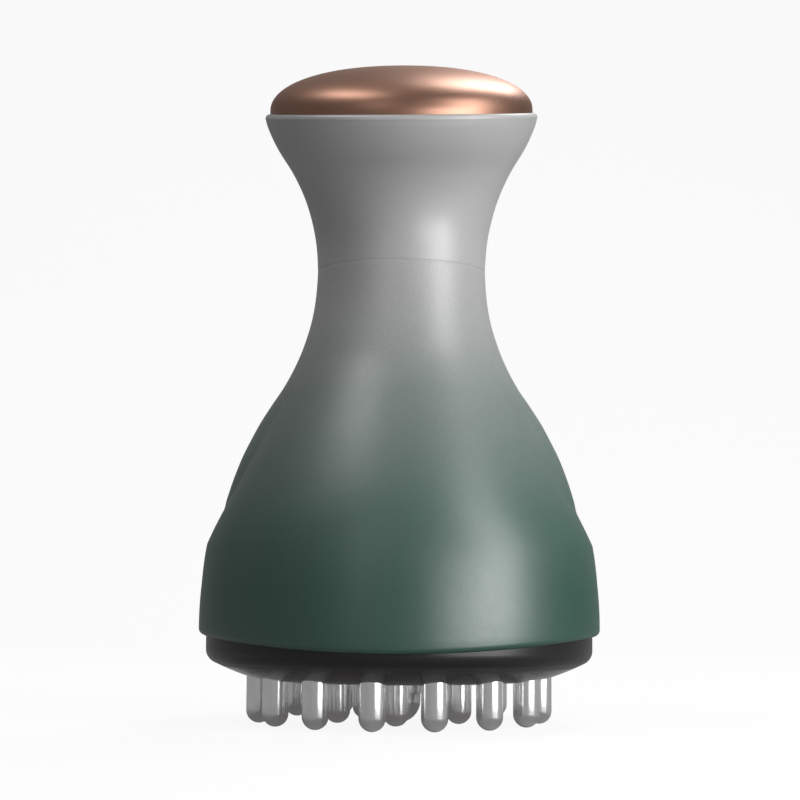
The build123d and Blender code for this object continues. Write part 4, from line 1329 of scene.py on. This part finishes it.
@dataclass(frozen=True)
class BaseCover:
    """Glossy black base: side wall, rounded corner, bowl-shaped underside and pierced floor."""

    layout: PostLayout
    radius: float = 42.5
    wall: float = 2.1
    top: float = 23.2
    floor_low: float = 9.3
    floor_high: float = 12.5
    bowl_radii: tuple[float, ...] = (27.5, 30.0, 32.0, 34.0, 36.0, 38.0)
    bowl_rises: tuple[float, ...] = (0, 0.12, 0.45, 1.02, 1.75, 2.55)
    inner_flat: float = 36.0
    inner_rise: float = 3.0
    corner_height: float = 13.96
    corner_rounding: float = 3.1
    post_hole: float = 2.85
    centre_hole: float = 4.8
    window_outer: float = 24.8
    window_inner: float = 19.2
    window_count: int = 5
    window_phase: float = 36.0
    window_degrees: float = 52.0
    top_rounding: float = 0.2
    margin: float = 1.0
    hole_columns: int = 48
    centre_columns: int = 64
    columns: int = 240

    def path(self) -> Array:
        """Outline from the underside's middle round the outside to the floor's middle."""
        inner = self.radius - self.wall
        bowl = HeightTable(self.bowl_radii, self.bowl_rises, True)
        reach = np.linspace(self.bowl_radii[0], self.bowl_radii[-1], 15)
        rise = self.floor_low + bowl.at(reach)
        corners = [(0, self.floor_low, 0)]
        corners += [(float(across), float(height), 0) for across, height in zip(reach, rise)]
        corners += [
            (self.radius, self.corner_height, self.corner_rounding),
            (self.radius, self.top, self.top_rounding),
            (inner, self.top, self.top_rounding),
            (inner, self.floor_high + self.inner_rise, 0),
            (self.inner_flat, self.floor_high, 0),
            (0, self.floor_high, 0),
        ]
        return filled_path(rounded_path(corners, 8), 3.0)

    def window_slot(self, index: int) -> Array:
        """Arc-shaped prism through the floor: along the outer arc and back along the inner one.

        Args:
            index: Number of the slot.

        Returns:
            Grid of points.
        """
        middle = math.radians(self.window_phase + index * 360 / self.window_count)
        half = math.radians(self.window_degrees / 2)
        sweep = np.linspace(-half, half, 24)
        angle = middle + np.concatenate([sweep, sweep[::-1]])
        outward = outwards(angle)
        reach = np.repeat([self.window_outer, self.window_inner], 24)[:, None]
        spine = outward * (self.window_outer + self.window_inner) / 2
        low, high = self.floor_low - self.margin, self.floor_high + self.margin
        return prism(outward * reach, spine, low, high)

    def openings(self) -> Skin:
        """Holes for the posts and slots for the light window."""
        skin = Skin()
        low, high = self.floor_low - self.margin, self.floor_high + self.margin
        small = np.concatenate([self.layout.outer(), self.layout.inner()])
        for spots, radius, columns in (
            (small, self.post_hole, self.hole_columns),
            (np.zeros((1, 2)), self.centre_hole, self.centre_columns),
        ):
            hole = disc(radius, low, high, columns)
            for spot in spots:
                skin.add(hole + np.append(spot, 0))
        for index in range(self.window_count):
            skin.add(self.window_slot(index))
        return skin

    def build(self) -> None:
        """Work out the cover, pierce its floor and dress it."""
        mesh = Skin().add(revolved(self.path(), self.columns)).mesh("base_cover_skin")
        mesh = cut(mesh, self.openings())
        put_piece("base_cover", "gloss", mesh, BASE_BLACK)


# Control panel


@dataclass(frozen=True)
class ControlPanel:
    """Black panel on the back with its two buttons."""

    panel: PanelPlace
    proud: float = 0.4
    depth: float = 4.6
    shell_and_seal: float = 2.8
    flange: float = 1.3
    edge_rounding: float = 0.3
    button_gap: float = 0.1
    power_place: float = 8.0
    power_radius: float = 5.2
    mode_place: float = -6.5
    mode_radius: float = 4.2
    button_proud: float = 0.9
    button_rounding: float = 0.5
    button_dish: float = 0.22
    button_flange: float = 1.0
    flange_thickness: float = 0.8
    seat_gap: float = 0.05
    window_place: float = -13.0
    window_half_length: float = 2.55
    window_half_width: float = 0.75
    columns: int = 144
    round_columns: int = 64

    def plate(self) -> Array:
        """The plate: its face follows the shell, its edge is a quarter arc, its back is flat.

        Rows run from the middle line of the face outwards, over the edge, in to the flange and
        back to the middle line of the rear face.

        Returns:
            Grid of points on the panel's own axes.
        """
        width, edge = self.panel.half_width, self.edge_rounding
        turn = np.linspace(0, math.pi / 2, 5)
        face = np.linspace(-width, -edge, 14)
        arc = -edge + edge * np.sin(turn[1:])
        margin = np.concatenate([face, arc, [0, self.flange, self.flange, -width]])
        across, along = self.panel.outline(margin[:, None], self.columns)
        surface = self.panel.rise(across, along, self.proud)
        under = self.panel.rise(across, along, -self.shell_and_seal)
        drop = np.concatenate([0 * face, edge * (1 - np.cos(turn[1:])), [0, 0, 0, 0]])[:, None]
        kind = np.concatenate([0 * face, 0 * arc, [1, 1, 2, 2]])[:, None]
        level = np.where(kind == 0, surface - drop, np.where(kind == 1, under, -self.depth))
        return np.stack([across, along, level], -1)

    def button_path(self, radius: float, top: float) -> Array:
        """Outline of a button: dished face, rounded edge, skirt and flange.

        Args:
            radius: The button's radius.
            top: Level of its edge over the panel's plane.

        Returns:
            Rows of distance from the button's axis and level.
        """
        across = np.linspace(0, radius - self.button_rounding, 14)
        share = across / across[-1]
        dish = top - self.button_dish * (1 - share**2) ** 2
        turn = np.linspace(0, math.pi / 2, 7)[1:]
        reach = across[-1] + self.button_rounding * np.sin(turn)
        edge = top - self.button_rounding * (1 - np.cos(turn))
        flange_top = -self.depth - self.seat_gap
        bottom = flange_top - self.flange_thickness
        wide = radius + self.button_flange
        skirt = [(radius, flange_top), (wide, flange_top), (wide, bottom), (0, bottom)]
        rows = [np.stack([across, dish], -1), np.stack([reach, edge], -1), np.array(skirt)]
        return np.concatenate(rows)

    def window_prism(self) -> Array:
        """Long round opening for the indicator."""
        outline = long_round(self.window_half_length, self.window_half_width, 0, 32)
        grid = prism(outline, np.zeros(2), -self.panel.reach, self.panel.reach)
        return grid + np.array([0, self.window_place, 0])

    def build(self) -> None:
        """Make the plate with its openings, and both buttons."""
        place = self.panel.place()
        mesh = Skin().add(place.put(self.plate())).mesh("control_panel_skin")
        skin = Skin()
        buttons = (
            ("power_button", self.power_place, self.power_radius, Body.POWER_BUTTON),
            ("mode_button", self.mode_place, self.mode_radius, Body.MODE_BUTTON),
        )
        for _, spot, radius, _ in buttons:
            reach, columns = self.panel.reach, self.round_columns
            hole = disc(radius + self.button_gap, -reach, reach, columns)
            skin.add(place.put(hole + np.array([0, spot, 0])))
        skin.add(place.put(self.window_prism()))
        mesh = cut(mesh, skin)
        put_piece("control_panel", "gloss", mesh, BLACK_GLOSS)
        for node, spot, radius, body in buttons:
            rise = float(self.panel.rise(np.zeros(1), np.array([spot]), 0.0)[0])
            path = self.button_path(radius, rise + self.button_proud)
            grid = place.put(revolved(path, self.round_columns) + np.array([0, spot, 0]))
            mesh = Skin().add(grid).mesh(node + "_skin")
            put_piece(node, "metal", mesh, BUTTON_METAL, body)


# Studio


@dataclass(frozen=True)
class Lamp:
    """A soft rectangular light, placed by angles round the object."""

    name: str
    azimuth: float
    elevation: float
    distance: float
    width: float
    tall: float
    power: float
    aim: tuple[float, float, float] = (0, 0, 0.07)

    def build(self) -> None:
        """Place the light, facing its aim; azimuth 0 is the front, 90 the right."""
        light = bpy.data.lights.new(self.name, "AREA")
        light.shape, light.size, light.size_y = "RECTANGLE", self.width, self.tall
        light.energy = self.power
        lamp = add_object(self.name, light)
        lamp.visible_camera = False
        azimuth, elevation = math.radians(self.azimuth), math.radians(self.elevation)
        turn = Matrix.Rotation(azimuth, 4, "Z") @ Matrix.Rotation(math.pi / 2 - elevation, 4, "X")
        lamp.matrix_world = Matrix.Translation(self.aim) @ turn @ Matrix.Translation(
            (0, 0, self.distance)
        )


@dataclass(frozen=True)
class Studio:
    """White sweep, soft lights and the camera."""

    camera_distance: float = 417.0
    camera_height: float = 28.3
    camera_azimuth: float = 2.6
    camera_pitch: float = 5.885
    camera_roll: float = 0.35
    camera_aim_degrees: float = 0.02
    lens: float = 84.2
    sensor: float = 36.0
    nearest: float = 0.005
    world_level: float = 0.2
    sweep_half_width: float = 2.0
    sweep_front: float = -2.5
    sweep_back: float = 1.0
    sweep_top: float = 0.75
    sweep_radius: float = 0.5
    paper_level: float = 0.2
    bright_level: float = 0.9
    floor_share: float = 0.92
    mirror_share: float = 0.12

    def camera(self) -> None:
        """Place the camera at the photograph's angle and make it the scene's camera."""
        data = bpy.data.cameras.new("camera")
        data.lens, data.sensor_width, data.clip_start = self.lens, self.sensor, self.nearest
        camera = add_object("camera", data)
        azimuth = math.radians(self.camera_azimuth)
        reach, height = self.camera_distance * MILLIMETRE, self.camera_height * MILLIMETRE
        spot = (reach * math.sin(azimuth), -reach * math.cos(azimuth), height)
        place = Matrix.Translation(spot)
        turn = Matrix.Rotation(math.radians(self.camera_azimuth + self.camera_aim_degrees), 4, "Z")
        pitch = Matrix.Rotation(math.radians(90 + self.camera_pitch), 4, "X")
        roll = Matrix.Rotation(math.radians(self.camera_roll), 4, "Z")
        camera.matrix_world = place @ turn @ pitch @ roll
        bpy.context.scene.camera = camera

    def white(self, name: str, share: float) -> bpy.types.Material:
        """White paper that shows plain white to the camera and in reflections.

        Args:
            name: Name of the material.
            share: How much of it is plain white there; the rest shows light and shadow.

        Returns:
            The material.
        """
        recipe = Recipe(name)
        seen = recipe.node("ShaderNodeLightPath", output="Is Camera Ray")
        for ray in ("Is Glossy Ray", "Is Transmission Ray"):
            mirrored = recipe.node("ShaderNodeLightPath", output=ray) * self.mirror_share
            seen = seen.larger(mirrored)
        tint = recipe.mix(seen, (self.paper_level,) * 3, (self.bright_level,) * 3)
        paper = recipe.node("ShaderNodeBsdfDiffuse", None, {"Color": tint})
        plain = recipe.node("ShaderNodeEmission", None, {"Color": (1, 1, 1), "Strength": 1.0})
        both = recipe.node("ShaderNodeMixShader", None, {0: seen * share, 1: paper, 2: plain})
        recipe.node("ShaderNodeOutputMaterial", None, {"Surface": both})
        return recipe.material

    def sweep(self) -> None:
        """Floor that curves up into the backdrop: a line, a quarter arc and a line, drawn out."""
        turn = np.linspace(0, math.pi / 2, 17)
        arc_y = self.sweep_back - self.sweep_radius + self.sweep_radius * np.sin(turn)
        arc_z = self.sweep_radius * (1 - np.cos(turn))
        y = np.concatenate([[self.sweep_front], arc_y, [self.sweep_back]])
        z = np.concatenate([[0.0], arc_z, [self.sweep_top]])
        x = np.array([-self.sweep_half_width, self.sweep_half_width])[:, None]
        points = side_by_side(x, y, z).reshape(-1, 3)
        count = len(y)
        row = np.arange(count - 1)
        faces = np.stack([row, row + count, row + count + 1, row + 1], -1)
        mesh = bpy.data.meshes.new("sweep")
        mesh.from_pydata(points.tolist(), [], faces.tolist())
        mesh.polygons.foreach_set("use_smooth", np.ones(len(mesh.polygons), bool))
        mesh.materials.append(self.white("paper", self.floor_share))
        add_object("sweep", mesh)

    def world(self) -> None:
        """Even grey surroundings."""
        world = bpy.data.worlds.new("studio")
        world.use_nodes = True
        shade = world.node_tree.nodes["Background"]
        shade.inputs["Color"].default_value = (1, 1, 1, 1)
        shade.inputs["Strength"].default_value = self.world_level
        bpy.context.scene.world = world

    def build(self) -> None:
        """Set the stage, the lights, the camera and the plain view."""
        self.sweep()
        self.world()
        for lamp in (
            Lamp("key_right", 60, 18, 0.7, 0.32, 0.75, 3.5),
            Lamp("key_soft", 50, 1, 0.75, 0.6, 0.17, 0.9),
            Lamp("low_right", 45, -4, 0.42, 0.3, 0.07, 0.5),
            Lamp("top_left", -64, 64, 0.8, 0.4, 0.2, 1.4),
            Lamp("top_back", 146, 57, 0.8, 0.22, 0.4, 3.2),
            Lamp("front_fill", -18, 20, 1.3, 0.3, 0.9, 0.9),
        ):
            lamp.build()
        self.camera()
        bpy.context.scene.view_settings.view_transform = "Standard"


def dress_nodes(nodes: dict[str, bpy.types.Object]) -> None:
    """Give every frame node that stays its own finish.

    Args:
        nodes: The frame's nodes by name.
    """
    for finish, names in NODE_FINISHES.items():
        for name in names:
            if not nodes[name].material_slots:
                nodes[name].data.materials.append(None)
            for slot in nodes[name].material_slots:
                slot.material = material_of(finish)
            log.info("%s: %s", name, finish.name)


def main() -> None:
    """Load the frame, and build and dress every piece."""
    logging.basicConfig(level=logging.INFO, format="%(name)s: %(message)s")
    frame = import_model()
    Studio().build()
    form = HousingForm()
    panel = PanelPlace(form)
    collar = CollarForm()
    layout = PostLayout()
    LowerShell(form, panel).build()
    UpperCollar(collar).build()
    ScrapingHead(collar.rim_place()).build()
    BaseCover(layout).build()
    Posts(layout).build()
    ControlPanel(panel).build()
    dress_nodes(frame["nodes"])


if __name__ == "__main__":
    main()
